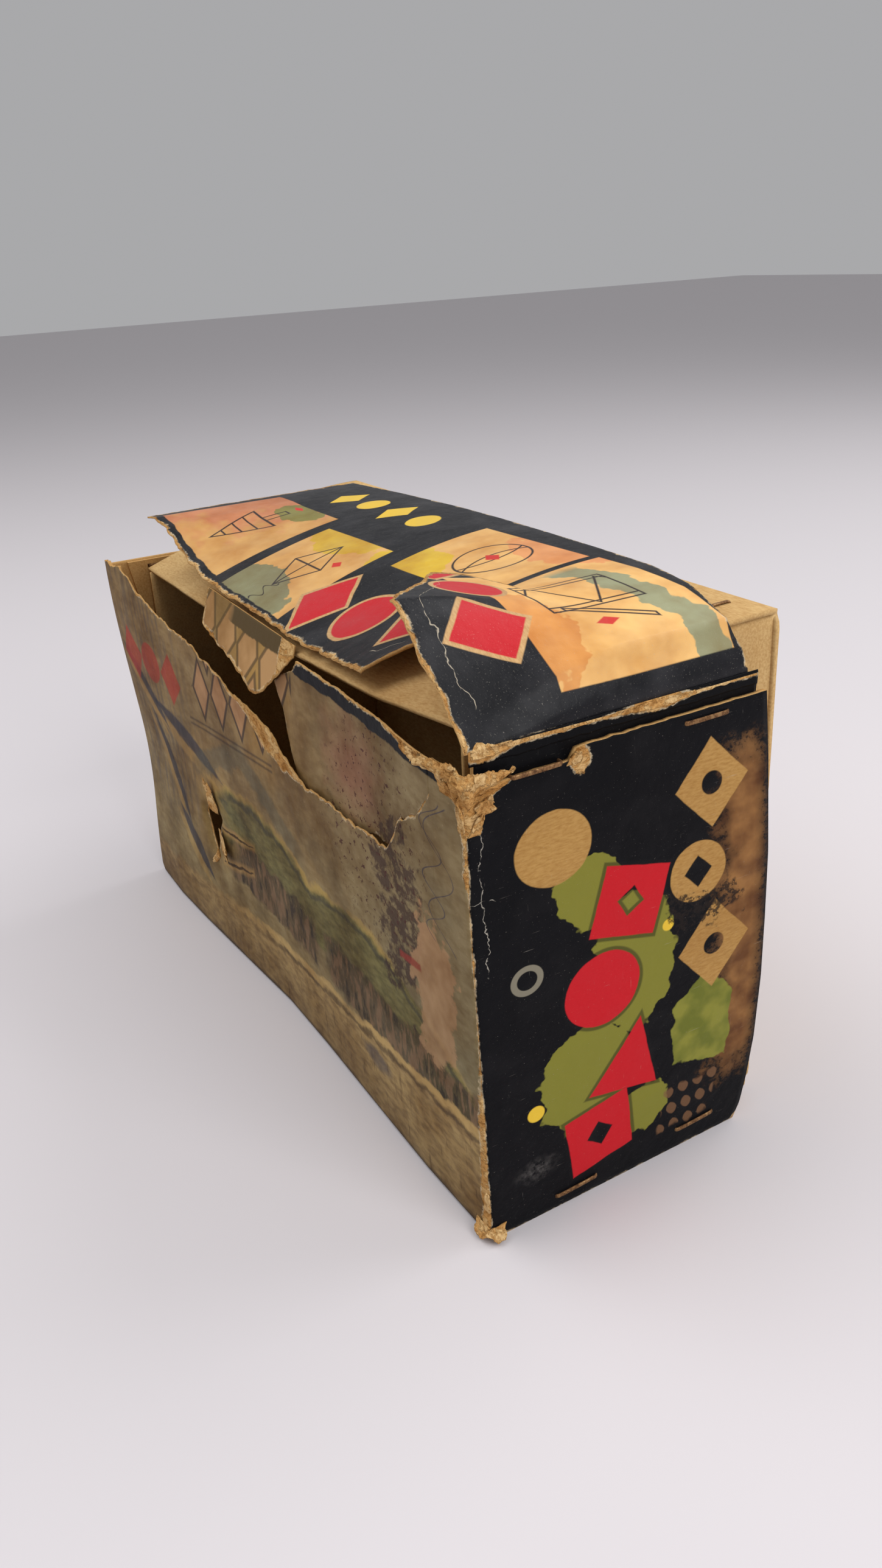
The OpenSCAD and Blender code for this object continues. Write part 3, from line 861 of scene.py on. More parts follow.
SCRAPS = (
    # root, across, along, width, length, lift, seed
    ((220.1, 2.2, 107.5), (0, 1, 0), (0, 0.3, 1), 4.5, 4.0, 1.3, 2.9),
    ((220.0, 0.4, 103.5), (0, 1, 0), (0, 0.3, 1), 2.6, 4.6, 0.9, 4.1),
    ((218.6, -1.6, 104), (1, 0, 0), (0.1, 0, 1), 2.2, 6, 0.8, 5.7),
    ((214.0, -1.7, 110.5), (1, 0, 0), (-0.2, 0, 1), 5, 3.5, 1.0, 7.3),
    ((201.0, -1.2, 112.0), (1, 0, 0), (0.3, 0, 1), 5, 4.5, 1.1, 8.8),
    ((65.0, -0.6, 48.4), (1, 0, 0.1), (-0.35, -0.02, 1), 8, 10, 0.5, 10.1),
    ((66.8, -0.4, 39.0), (0.1, 0, -1), (1, -0.14, -0.1), 8, 10, 0.7, 11.9),
    ((63.8, -0.3, 33.5), (0.5, 0, -1), (-0.9, -0.05, -0.8), 2.6, 14, 0.4, 13.3),
    ((220.2, 1.4, 3.4), (0, -1, 0), (0.3, -0.2, -1), 5, 3.0, 1.6, 15.7),
    ((217.5, -0.2, 3.6), (-1, 0, 0), (0.5, -0.3, -1), 5.5, 3.2, 1.4, 17.1),
    ((219.6, -0.3, 9.0), (-1, 0, 0), (0.1, -0.2, 1), 3, 5, 0.8, 18.3),
    ((220.1, 24.0, 112.4), (0, 1, 0), (0, 0.2, 1), 3.4, 3.0, 0.9, 19.9),
)


class CARTON_OT_scraps(bpy.types.Operator):
    """Builds the curled plies, the pushed-in shard and the paper along the crease"""
    bl_idname = "carton.scraps"
    bl_label = "Torn scraps"

    def execute(self, context):
        piece = Sheet("torn_plies_lid")
        for row in SCRAPS:
            scrap(piece, *row)
        crumple(piece, 204, 231, 3.2, 1.0, 1.3)
        crumple(piece, 209, 227, 6.0, 0.7, 5.9)
        crumple(piece, 196, 218, 2.2, 1.5, 9.1)
        piece = piece.done("ply", board=0.5 * MM)
        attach(piece, "lid")
        for name, cols, rows, place, paint, thick in (
                ("crease_paper", 140, 8, crease_paper, "ply", 0.3 * MM),
                ("crease_fold", 120, 10, crease_fold, "print_tab", 0.2 * MM)):
            paper = sheet(name, cols, rows, place, paint, board=thick)
            at(219.4, 37, 118.2)
            at(218.6, 37, 119.6)
            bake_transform(paper)
        return {"FINISHED"}


# ---- Shader maths ----

WHITE = (255, 255, 255)


def operator(operation, swapped=False):
    """A method that joins a shader value and another value in a Math node."""
    def join(self, other):
        pair = (other, self) if swapped else (self, other)
        return self.graph.math(operation, *pair)
    return join


class Value:
    """A shader value; arithmetic on it adds Math nodes."""

    def __init__(self, graph, socket):
        self.graph, self.socket = graph, socket

    __add__ = __radd__ = operator("ADD")
    __mul__ = __rmul__ = operator("MULTIPLY")
    __sub__, __rsub__ = operator("SUBTRACT"), operator("SUBTRACT", swapped=True)
    __truediv__, __rtruediv__ = operator("DIVIDE"), operator("DIVIDE", swapped=True)

    def __abs__(self):
        return self.graph.math("ABSOLUTE", self)


class Graph:
    """One material's nodes. Its place and its outlines are in millimetres: on the
    panel for a print, else on the object."""

    def __init__(self, name):
        self.material = bpy.data.materials.new(name)
        self.material.use_nodes = True
        self.tree = self.material.node_tree
        self.shader = self.tree.nodes["Principled BSDF"]
        self.shader.inputs["Specular IOR Level"].default_value = (
            0.15 if name == "print_top" else 0.05)
        inks = bpy.context.scene.carton_colours
        self.inks = {k: (*getattr(inks, k), 1) for k in inks.__annotations__}
        self.art = self.inks["black"]
        if name.startswith("print"):
            self.spot = self.scaled(self.out("UVMap", uv_map="panel"), 1 / PANEL)
            split = self.node("SeparateXYZ", [self.spot])
            self.u, self.v = (Value(self, split.outputs[k]) for k in (0, 1))
        else:
            self.spot = self.scaled(self.out("TexCoord", output=3), 1 / MM)

    def node(self, kind, inputs=(), **settings):
        """Adds any node: its settings first, then the values or links of its sockets."""
        made = self.tree.nodes.new("ShaderNode" + kind)
        for key, value in settings.items():
            if key == "stops":
                ramp = made.color_ramp.elements
                for k, (place, shade) in enumerate(value):
                    stop = ramp[k] if k < 2 else ramp.new(place)
                    stop.position, stop.color = place, self.paint(shade)
            else:
                setattr(made, key, value)
        for key, value in inputs.items() if isinstance(inputs, dict) else enumerate(inputs):
            if isinstance(value, Value):
                self.tree.links.new(value.socket, made.inputs[key])
            else:
                made.inputs[key].default_value = value
        return made

    def out(self, kind, inputs=(), output=0, **settings):
        return Value(self, self.node(kind, inputs, **settings).outputs[output])

    def scaled(self, spot, size):
        return self.out("VectorMath", {0: spot, "Scale": size}, operation="SCALE")

    def math(self, operation, *values, clamp=False):
        return self.out("Math", values, operation=operation, use_clamp=clamp)

    def low(self, *values):
        return reduce(partial(self.math, "MINIMUM"), values)

    def high(self, *values):
        return reduce(partial(self.math, "MAXIMUM"), values)

    def attribute(self, name):
        return self.out("Attribute", output=2, attribute_name=name)

    def noise(self, scale, detail=2.0, rough=0.5, stretch=(1, 1, 1), turn=0.0):
        """Noise from 0 to 1 whose patches are about 1 / scale across."""
        spot = self.spot
        if turn or stretch != (1, 1, 1):
            spot = self.out("Mapping", {"Vector": spot, "Rotation": (0, 0, radians(turn)),
                                        "Scale": stretch})
        return self.out("TexNoise", {"Vector": spot, "Scale": scale, "Detail": detail,
                                     "Roughness": rough})

    def step(self, value, start, end):
        """0 at start, 1 at end, straight in between."""
        return self.math("MULTIPLY_ADD", value, 1 / (end - start), -start / (end - start),
                         clamp=True)

    def ink(self, distance, soft=0.3):
        """Mask of a shape from the distance to its outline."""
        return self.math("MULTIPLY_ADD", distance, -1 / soft, 0.5, clamp=True)

    def paint(self, shade):
        """A colour for a socket: from an ink's name or 0-255 values, else as it is."""
        if isinstance(shade, str):
            return self.inks[shade]
        if isinstance(shade, tuple) and len(shade) == 3:
            return linear(*shade) + [1]
        return shade

    def mix(self, under, over, mask, blend="MIX"):
        """One colour over another."""
        return self.out("Mix", {0: mask, 6: self.paint(under), 7: self.paint(over)},
                        output=2, data_type="RGBA", blend_type=blend)

    def tint(self, shade, by, mask=1.0):
        """A colour darkened by another."""
        return self.mix(shade, by, mask, "MULTIPLY")

    def lay(self, shade, mask):
        """Lays a colour over the art so far."""
        self.art = self.mix(self.art, shade, mask)

    def wash(self, by, mask=1.0):
        """Darkens the art so far."""
        self.art = self.tint(self.art, by, mask)

    def ovals(self, wander, soft, *rows):
        """Ragged ovals over the art so far: each a colour, a centre, a radius, a
        squeeze, how ragged it is and its strength."""
        for shade, x, y, r, squeeze, ragged, share in rows:
            oval = self.disc(self.u, self.v, x, y, r, squeeze) + wander * ragged
            self.lay(shade, self.ink(oval, soft) * share)

    def ramp(self, value, *pairs):
        return self.out("ValToRGB", [value], stops=pairs)

    # distances to outlines

    def disc(self, x, y, cx, cy, r, squeeze=1.0):
        spot = self.out("CombineXYZ", [x - cx, (y - cy) * squeeze])
        return self.out("VectorMath", [spot], output=1, operation="LENGTH") - r

    def box(self, x, y, cx, cy, w, h):
        return self.high(abs(x - cx) - w, abs(y - cy) - h)

    def diamond(self, x, y, cx, cy, w, h):
        s = w * h / sqrt(w * w + h * h)
        return abs(x - cx) * (s / w) + abs(y - cy) * (s / h) - s

    def hull(self, x, y, *corners):
        """A convex outline, its corners in anticlockwise order."""
        sides = []
        for (x0, y0), (x1, y1) in zip(corners, corners[1:] + corners[:1]):
            a, b = y1 - y0, x0 - x1
            n = sqrt(a * a + b * b)
            sides.append(x * (a / n) + y * (b / n) - (a * x0 + b * y0) / n)
        return self.high(*sides)

    def outlines(self, x, y):
        """The four outlines above, bound to one pair of coordinates."""
        return [partial(f, x, y) for f in (self.disc, self.box, self.diamond, self.hull)]

    def finish(self, shade, height, roughness, metallic=0.0):
        """Feeds the shader: colour, height in millimetres, roughness and metal."""
        bump = self.out("Bump", {"Strength": 1.0, "Distance": MM, "Height": height})
        for name, value in (("Base Color", shade), ("Normal", bump),
                            ("Roughness", roughness), ("Metallic", metallic)):
            if isinstance(value, Value):
                self.tree.links.new(value.socket, self.shader.inputs[name])
        return self.material


# ---- Finishes ----


def bare_board(g, base):
    """Colour and height of bare chipboard: soft fibres, a few flecks and stains."""
    fibre = g.noise(1.8, 3.0, 0.65, stretch=(0.3, 1, 1), turn=12)
    shade = g.tint(base, g.ramp(g.noise(0.04, 3.0, 0.55), (0.3, (238, 232, 224)),
                                (0.7, (255, 255, 252))))
    shade = g.tint(shade, g.ramp(fibre, (0.3, (220, 206, 188)), (0.62, WHITE)), 0.8)
    shade = g.mix(shade, (132, 98, 64), g.step(g.noise(1.4, 2.0, 0.7), 0.7, 0.76) * 0.4)
    return shade, fibre * 0.07 + g.noise(9.0, 2.0, 0.6) * 0.04


def plies(g, base):
    """Colour and height of torn board: thin layers peeled to different depths."""
    shade, height = bare_board(g, base)
    depth = g.noise(0.22, 5.0, 0.62, stretch=(0.7, 1, 1))
    layer = g.ramp(depth, (0.36, (196, 168, 130)), (0.43, (236, 214, 182)),
                   (0.5, (238, 220, 192)), (0.54, (255, 250, 238)),
                   (0.62, (255, 255, 252)))
    fray = g.step(g.noise(1.6, 4.0, 0.75, stretch=(0.5, 1, 1), turn=20), 0.34, 0.5)
    shade = g.tint(g.tint(shade, layer),
                   g.ramp(fray, (0.0, (206, 178, 142)), (1.0, WHITE)), 0.7)
    rise = g.step(depth, 0.37, 0.43) + g.step(depth, 0.5, 0.54) + fray * 0.25
    return shade, height + rise * 0.3


def worn_print(g, edges, gloss):
    """Printed paper over chipboard, torn along its edges. Each edge is a distance, the
    torn band's usual width and how far that width strays."""
    nibble = g.noise(0.9, 4.0, 0.68) * 0.42 + g.noise(0.13) * 0.58 - 0.5
    depth = g.low(*(distance - width + nibble * stray for distance, width, stray in edges))
    torn = g.ink(depth)
    lip = g.ink(abs(depth - 0.1) - 0.15) * g.step(g.noise(0.35), 0.42, 0.56)
    raw, raw_height = plies(g, g.mix("board", (232, 202, 154), 0.5))
    g.lay((222, 202, 168), lip * 0.7)
    g.lay(g.mix(raw, (236, 214, 176), lip * 0.6), torn)
    cockle = g.noise(0.045) * 0.9 + g.noise(0.35, 3.0) * 0.16
    grain = g.noise(5.0, 2.0, 0.6) * 0.035
    height = cockle + grain * (1 - torn) + torn * (raw_height - 0.6)
    roughness = torn * (0.9 - gloss) + g.noise(0.4, 3.0) * 0.14 + (gloss - 0.07)
    return g.finish(g.art, height, roughness)


def scratches(g, dust=0.67):
    """Fine pale scratches and flecks of a rubbed black print."""
    a = g.step(g.noise(1.0, 3.0, 0.7, stretch=(0.09, 1.9, 1), turn=38), 0.69, 0.74)
    b = g.step(g.noise(1.1, 3.0, 0.7, stretch=(1.8, 0.08, 1), turn=17), 0.7, 0.75)
    c = g.step(g.noise(2.2, 3.0, 0.75), dust, dust + 0.05)
    return g.math("ADD", (a + b) * g.step(g.noise(0.05), 0.4, 0.56), c, clamp=True)


def turned(u, v, cu, cv, angle):
    """Coordinates about a centre, turned by an angle in degrees."""
    c, s = cos(radians(angle)), sin(radians(angle))
    a, b = u - cu, v - cv
    return a * c + b * s, b * c - a * s


def blocks(g, u, v, *rows):
    """Distance to a row of plain shapes: each a kind, a centre, a size and a turn."""
    made = []
    for kind, cu, cv, size, angle in rows:
        disc, box, diamond, hull = g.outlines(*turned(u, v, cu, cv, angle))
        if kind == "square":
            hole = diamond(0, 0, size * 0.42, size * 0.42)
            made.append(g.high(box(0, 0, size, size), 0.0 - hole))
        elif kind == "gem":
            made.append(diamond(0, 0, size, size * 1.2))
        elif kind == "disc":
            made.append(disc(0, 0, size))
        else:
            made.append(hull((-size, -size), (size, -size), (0, size)))
    return g.low(*made)


def end_art(g):
    """Art of the end walls: plain ornaments in faded inks on black. Gives the distance
    from the face's corner."""
    y, z = abs(g.u - LENGTH / 2) - LENGTH / 2, g.v
    disc, box, diamond, hull = g.outlines(y, z)
    wander = g.noise(0.16, 3.0) - 0.5
    g.lay((22, 22, 26), g.noise(0.06, 3.0) * 0.5)

    # brown glow along the rim, speckled where it ends
    glow = g.step(y + wander * 16, 58.0, 66.0) * (1 - g.step(y, 71.0, 75.5))
    glow = glow * g.step(z + wander * 20, 12.0, 24.0)
    glow = glow * (1 - g.step(z + wander * 16, 98.0, 110.0))
    speck = g.step(g.noise(0.75, 4.0, 0.75) + glow * 0.35, 0.5, 0.66)
    glow = g.math("MULTIPLY", glow, speck, clamp=True)
    g.lay(g.ramp(g.noise(0.12, 3.0), (0.35, (106, 68, 40)), (0.65, (158, 112, 66))),
          glow * 0.85)

    # olive hills with a darker crest, and a field
    hill = g.low(disc(26, 34, 12, 0.8), disc(38, 60, 11, 0.6), disc(27, 82, 8.5),
                 disc(42, 18, 7)) + wander * 8
    g.lay("olive", g.ink(hill, 0.4))
    crest = g.ink(disc(30, 62, 8, 0.8) + wander * 14, 0.4) * g.ink(disc(36, 52, 8), 0.4)
    g.lay((52, 54, 30), crest * 0.85)
    field = hull((50, 26), (66, 22), (66, 40), (58, 50), (49, 42)) + wander * 5
    g.lay(g.ramp(g.noise(0.15), (0.4, (104, 108, 44)), (0.62, (132, 130, 56))),
          g.ink(field, 0.4))

    # a column of red shapes
    red = blocks(g, y, z, ("square", 30, 16, 8.5, 10), ("wedge", 38, 35, 9.5, -12),
                 ("disc", 30, 56, 9.5, 0), ("square", 37, 76, 8.5, -16))
    g.lay((22, 20, 22), g.ink(red - 0.9, 0.4) * 0.6)
    g.lay("red", g.ink(red + wander * 0.7))

    # plain board showing as diamonds and discs, a grey ring and yellow dots
    tan = g.low(diamond(59, 98, 10, 11), disc(55, 77, 7.6), diamond(60, 56, 10, 12))
    hole = g.low(disc(59, 98, 2.8), diamond(55, 77, 3.8, 4.0), disc(60, 56, 2.8))
    tan = g.low(g.high(tan, 0.0 - hole), disc(19, 95, 8.6))
    g.lay(bare_board(g, (182, 142, 84))[0], g.ink(tan + wander * 0.6))
    g.lay((126, 120, 104), g.ink(abs(disc(12, 66, 3.0)) - 0.7, 0.2))
    g.lay("yellow", g.ink(g.low(disc(13, 30, 2.1), disc(47, 66, 1.5))))

    # a faded check and a burnt patch
    check = g.math("PINGPONG", y + z * 0.3, 2.2) * g.math("PINGPONG", z, 2.6)
    check = g.ink(1.7 - check, 0.6) * g.ink(box(56, 13, 8, 6) + wander * 5, 0.8)
    g.lay((122, 88, 62), check * 0.7)
    burnt = g.ink(box(57, 68, 10, 5) + wander * 14, 1.0)
    g.lay((34, 28, 26), burnt * g.step(g.noise(0.5, 3.0, 0.7), 0.46, 0.54) * 0.85)

    # scratches, a scuff, a split in the print and rubs
    g.lay((168, 160, 150), scratches(g) * 0.5)
    scuff = g.ink(disc(13, 14, 3, 1.6) + wander * 10, 6.0)
    g.lay((150, 144, 140), scuff * g.step(g.noise(0.6, 4.0, 0.7), 0.4, 0.8) * 0.5)
    split = g.low(abs(y - 6.0 + g.noise(0.12, 4.0, 0.7) * 5) - 0.04,
                  g.high(abs(z - 88.0 + wander * 5) - 0.02, y - 6.0))
    split = g.ink(split, 0.18) * g.ink(abs(z - 88.0) - 17.5, 1.0)
    g.lay((206, 198, 184), split * g.step(g.noise(0.5), 0.38, 0.5))
    g.lay((96, 92, 92), g.step(g.noise(0.09, 3.0), 0.5, 0.72) * 0.03)
    return y


def top_art(g):
    """Art of the top wall: framed toy drawings on black."""
    u, v = g.u, g.v
    disc, box, diamond, hull = g.outlines(u, v)
    wander = g.noise(0.14, 3.0) - 0.5
    black = g.mix("black", (40, 40, 46), g.noise(0.06, 3.0) * 0.5)

    # four windows washed with colour
    panes = g.ink(g.low(box(49, 28.5, 21.5, 20), box(96, 25, 19.5, 17.5),
                        box(146.5, 52, 22.5, 15),
                        g.high(box(198, 46, 26.5, 22), 7.0 - g.attribute("crease"))))
    g.art = g.mix((232, 184, 116), (226, 156, 116),
                  g.step(u - v * 0.6 + wander * 60, 40.0, 22.0))
    g.ovals(wander, 0.6,
            ((150, 148, 84), 52, 44, 11, 2.0, 14, 1),
            ((224, 186, 66), 92, 42, 17, 1.7, 16, 1),
            ((146, 146, 112), 92, 8, 18, 1.4, 16, 1),
            ((226, 190, 62), 128, 38, 15, 1.3, 14, 1),
            ((226, 150, 98), 158, 66, 17, 1.8, 16, 0.8),
            ((218, 150, 82), 204, 22, 18, 1.3, 18, 0.9))
    stripe = g.ink(abs(v - 58.0 - (u - 192.0) * 0.18 + wander * 12) - 4.2, 0.6)
    g.lay((150, 150, 118), stripe * g.step(u, 172.0, 176.0))
    g.wash(g.ramp(g.noise(0.075, 3.0, 0.6), (0.3, (226, 208, 188)), (0.65, WHITE)))
    # painted shade: the windows darken towards the far end
    g.wash(g.ramp(g.step(u, 20.0, 180.0), (0.0, (214, 206, 198)), (1.0, (255, 255, 252))))
    g.art = g.mix(black, g.art, panes)

    # line drawings: a spinning top, a kite, a ball and a drum
    top, kite = hull((40, 34), (48, 16), (56, 34)), diamond(96, 26, 8, 11)
    ball, drum = disc(148, 53, 10), box(192, 46, 8.5, 12)
    lace = abs(u - 184.5 - g.math("PINGPONG", v * 1.6, 15.0)) * 0.55
    tail = abs(u - 96.0 - g.math("SINE", v * 1.3) * 2.0)
    lines = g.low(*(abs(shape) for shape in (
        top, box(48, 38, 1.6, 4), kite, ball, drum,
        g.box(u - v * 0.5, v, 181, 46, 0.7, 9))), g.high(tail, abs(v - 12.0) - 4.0))
    for line, inside in ((abs(g.math("PINGPONG", v, 4.5) - 2.2), top),
                         (g.low(abs(u - 96), abs(v - 26)), kite),
                         (abs(disc(134, 53, 16)), ball), (abs(disc(162, 53, 16)), ball),
                         (lace, drum), (abs(abs(u - 192.0) - 6.4), drum)):
        lines = g.low(lines, g.high(line, inside))
    g.lay((46, 36, 34), g.ink(lines - 0.3) * panes)
    marks = g.low(diamond(48, 46, 3.0, 1.2), diamond(106, 30, 2.2, 1.6),
                  diamond(148, 53, 3.2, 2.0), diamond(207, 43, 1.6, 3.0))
    g.lay((196, 52, 44), g.ink(marks))

    # yellow shapes at the rim, red ones with pale outlines at the torn edge
    yellow = blocks(g, u, v, ("gem", 50, 63, 6.0, 0), ("disc", 66, 63, 5.2, 0),
                    ("gem", 83, 62, 6.0, 0), ("disc", 100, 61, 5.2, 0))
    g.lay("yellow", g.ink(yellow + wander * 0.8))
    red = blocks(g, u, v + wander * 0.6, ("gem", 122, 18, 9.5, 8),
                 ("disc", 143, 19, 8.6, 0), ("gem", 164, 23, 9.0, -8),
                 ("disc", 183, 24, 7.4, 0), ("gem", 203, 17, 8.5, 12))
    g.lay(bare_board(g, (206, 168, 118))[0], g.ink(red - 1.0))
    g.lay("red", g.ink(red + 0.1))

    # a split in the tongue's print, then scratches and rubs
    split = abs(g.attribute("tear") - 6.0 - wander * 7) - 0.05
    split = g.ink(split, 0.2) * g.ink(box(192, 14, 28, 22), 1.0)
    g.lay((214, 200, 176), split * g.step(g.noise(0.4), 0.36, 0.48))
    g.lay((176, 170, 158), scratches(g, 0.63) * 0.36)
    g.lay((120, 118, 120), g.step(g.noise(0.09, 3.0), 0.46, 0.72) * 0.09)


def face_art(g):
    """Art of the face: a faded painted landscape with plain ornaments."""
    u, v = g.u, g.v
    disc, box = g.outlines(u, v)[:2]
    cloud = g.noise(0.05, 4.0, 0.62)
    wander = g.noise(0.11, 4.0, 0.62) - 0.5
    brush = g.noise(0.5, 3.0, 0.6, stretch=(0.4, 1, 1), turn=-24)
    g.art = g.ramp(cloud, (0.32, (122, 108, 78)), (0.5, (146, 130, 94)),
                   (0.68, (160, 148, 112)))
    g.lay((140, 138, 112), g.step(u + wander * 40, 132.0, 190.0) * 0.6)
    g.wash(g.ramp(brush, (0.35, (232, 226, 218)), (0.6, WHITE)), 0.9)
    g.ovals(wander, 16.0, ((170, 140, 78), 108, 100, 14, 0.8, 26, 0.7),
            ((146, 104, 92), 166, 99, 12, 1.2, 26, 0.6),
            ((172, 144, 88), 62, 52, 16, 0.9, 26, 0.5))

    # dark slanting ribbons on the far side
    rain = g.noise(0.5, 3.0, 0.6, stretch=(1.0, 0.12, 1), turn=-32)
    rain = g.step(rain, 0.46, 0.6) * g.step(u + wander * 30, 62.0, 40.0)
    g.lay((84, 84, 90), rain * g.step(v, 28.0, 44.0) * 0.5)
    for cu, cv, long, wide, angle in ((48, 68, 27, 3.0, -14), (30, 52, 21, 2.4, -58),
                                      (84, 53, 15, 2.8, -8), (44, 30, 17, 2.6, -34),
                                      (18, 78, 20, 2.2, -40)):
        a, b = turned(u, v, cu, cv, angle)
        bend = a * a * (wide / long ** 2) - wide + wander * 3
        g.lay((178, 152, 96), g.ink(abs(b + wide * 1.5) + bend, 1.2) * 0.6)
        g.lay((56, 60, 76), g.ink(abs(b) + bend, 1.0) * 0.82)

    # near hill and its lit crest, and a far hill
    near, low = u - 98.0, u - 160.0
    crest = g.low(v - 63.0 + near * near * 0.007, v - 57.0 + low * low * 0.006) + wander * 7
    slope = g.ink(abs(crest + 9.0) - 9.0, 1.2) * g.step(u + wander * 20, 60.0, 78.0)
    g.lay(g.ramp(brush, (0.35, (92, 92, 58)), (0.62, (122, 120, 76))), slope * 0.85)
    start = g.step(u, 64.0, 84.0)
    g.lay((56, 58, 58), g.ink(abs(crest + 2.8) - 0.8, 1.0) * start * 0.6)
    lit = g.ink(abs(crest) - 1.1, 1.2) * g.step(cloud, 0.36, 0.56)
    g.lay((186, 164, 98), lit * start * 0.75)
    far = abs(v - 77.0 + abs(u - 92.0) * 0.42 + wander * 9) - 4.0
    g.lay((86, 92, 84), g.ink(far, 1.6) * g.step(abs(u - 92.0), 44.0, 34.0) * 0.5)

    # a dark hedge in two lengths, of slanting tufts
    hedge = v - 36.0 + (u - 130.0) * 0.06 + wander * 10
    hedge = g.ink(abs(hedge) - 8.0, 1.6) * g.step(u + wander * 16, 68.0, 84.0)
    hedge = hedge * g.step(abs(u - 139.0 + wander * 12), 2.0, 6.0)
    tuft = g.noise(0.34, 3.0, 0.6, stretch=(1, 0.3, 1), turn=-28)
    g.lay((74, 62, 50), hedge * 0.75)
    g.lay((134, 110, 86), g.step(tuft, 0.5, 0.57) * hedge * 0.75)
    g.lay((44, 38, 38), g.step(tuft, 0.44, 0.38) * hedge * 0.7)

    # lit ground, then the worn brown foot
    ground = v - 18.0 - (u - 60.0) * 0.075 + wander * 7
    g.lay(g.ramp(brush, (0.36, (136, 112, 76)), (0.6, (174, 148, 100))),
          g.ink(ground, 2.0) * 0.85)
    lit = g.ink(abs(ground) - 1.2, 0.9) * g.step(cloud, 0.34, 0.54)
    g.lay((196, 168, 112), lit * g.step(u, 60.0, 90.0) * 0.85)
    g.lay((66, 52, 40), g.ink(abs(ground + 2.6) - 0.7, 0.7) * g.step(u, 84.0, 110.0) * 0.6)
    g.lay((76, 76, 86), g.ink(disc(168, 18, 8, 3.2) + wander * 14, 5.0) * 0.6)
    straw = g.noise(0.6, 3.0, 0.6, stretch=(1, 0.14, 1), turn=24)
    g.lay((84, 64, 42), g.step(straw, 0.6, 0.68) * g.ink(ground + 4, 2.0) * 0.6)
    g.lay((96, 78, 58), g.step(v + wander * 14 + u * 0.03, 22.0, 4.0) * 0.5)

    # a dark bush with leaves in the wind, pale blossom and a red bar
    bush = g.ink(disc(188, 72, 12, 0.55) + wander * 30, 2.0)
    g.lay((58, 40, 42), bush * g.step(g.noise(0.24, 4.0, 0.66), 0.4, 0.52) * 0.8)
    leaf = g.step(g.noise(0.5, 3.0, 0.7), 0.6, 0.62)
    g.lay((76, 40, 40), g.ink(disc(176, 88, 26, 0.9), 12.0) * leaf * 0.9)
    g.lay((180, 150, 116), g.ink(disc(203, 58, 9, 0.45) + wander * 18, 1.0) * 0.8)
    bar = g.box(u, v - u * 0.12, 192, 38, 5, 0.9)
    g.lay((150, 62, 56), g.ink(bar + wander * 2, 0.6) * 0.8)

    # faded red shapes and outlined diamonds, with fine rules below
    red = blocks(g, u, v, ("gem", 12, 88, 8, 6), ("disc", 27, 88, 6.8, 0),
                 ("gem", 42, 86, 7.5, -6))
    g.lay((172, 62, 54), g.ink(red + wander, 0.6) * 0.75)
    row = g.math("PINGPONG", u - 60.0, 7.5)
    gem = g.high(g.diamond(row, v - u * 0.1, 7.5, 83, 6.6, 9.5), abs(u - 90.0) - 30.0)
    high = g.high(g.diamond(row, v, 0.0, 108, 6.8, 11), abs(u - 100.0) - 29.0)
    g.lay((180, 148, 112), g.ink(gem, 0.5) * 0.9)
    g.lay((186, 156, 118), g.ink(high, 0.5) * 0.9)
    g.lay((58, 50, 50), g.ink(g.low(abs(gem), abs(high)) - 0.65, 0.5) * 0.85)
    rule = abs(abs(v - u * 0.085 - 71.5) - 0.9) - 0.35
    g.lay((66, 56, 50), g.ink(g.high(rule, abs(u - 86.0) - 32.0), 0.6) * 0.7)

    # blue pen strokes near the corner
    pen = g.low(abs(u - 209.0 + g.math("SINE", v * 0.33) * 5.5),
                abs(u - 206.0 + g.math("SINE", v * 0.5 + 1.4) * 4.2)) + wander * 0.5
    g.lay((62, 66, 92), g.ink(pen - 0.2, 0.25) * g.ink(box(209, 90, 9, 17), 0.5) * 0.75)

    # cracks beside the pushed-in hole: a pale band, then painted shade as dark lines in the
    # cracks
    reach, wave = abs(u - 80.0), wander * 3
    crack = abs(v - 43.5 - (u - 66.0) * 0.15 + wave) + reach * 0.02 - 0.5
    low = abs(v - 32.0 - (u - 68.0) * 0.25 + wave) + abs(u - 79.0) * 0.03 - 0.6
    crack = g.low(g.high(crack, reach - 15.0), g.high(low, reach - 12.0))
    g.lay((190, 156, 96), g.ink(crack - 1.1, 1.4) * 0.5)
    # painted shade inside the cracks
    g.lay((52, 34, 20), g.ink(crack, 0.4) * 0.9)

    # stains, rubs, the dark upper edge, and painted shade along the lower edge
    g.wash(g.ramp(g.noise(0.03, 4.0, 0.7), (0.36, (186, 168, 146)), (0.58, WHITE)), 0.85)
    g.wash(g.ramp(v / HEIGHT, (0.2, (252, 246, 238)), (0.8, (250, 230, 214))))
    g.lay((188, 166, 128), g.step(g.noise(0.8, 4.0, 0.72), 0.62, 0.72) * 0.3)
    g.lay((26, 25, 28), g.ink(112.0 + wave - v, 0.4) * g.step(u, 88.0, 92.0))
    # painted shade: a dark line along the face's lower edge, at its fold
    g.lay((48, 36, 28), g.ink(v - 1.6 + wave, 1.6) * 0.85)


def kraft_board(g):
    """Plain tray board: warm brown, with long fibres, stains and pressed marks."""
    shade, height = bare_board(g, "kraft")
    stain = g.ramp(g.noise(0.022, 4.0, 0.65), (0.32, (228, 212, 190)), (0.6, WHITE))
    dent = g.noise(0.06, 3.0, 0.5, stretch=(0.3, 1, 1)) * 0.5
    return g.tint(shade, stain, 0.7), height + dent


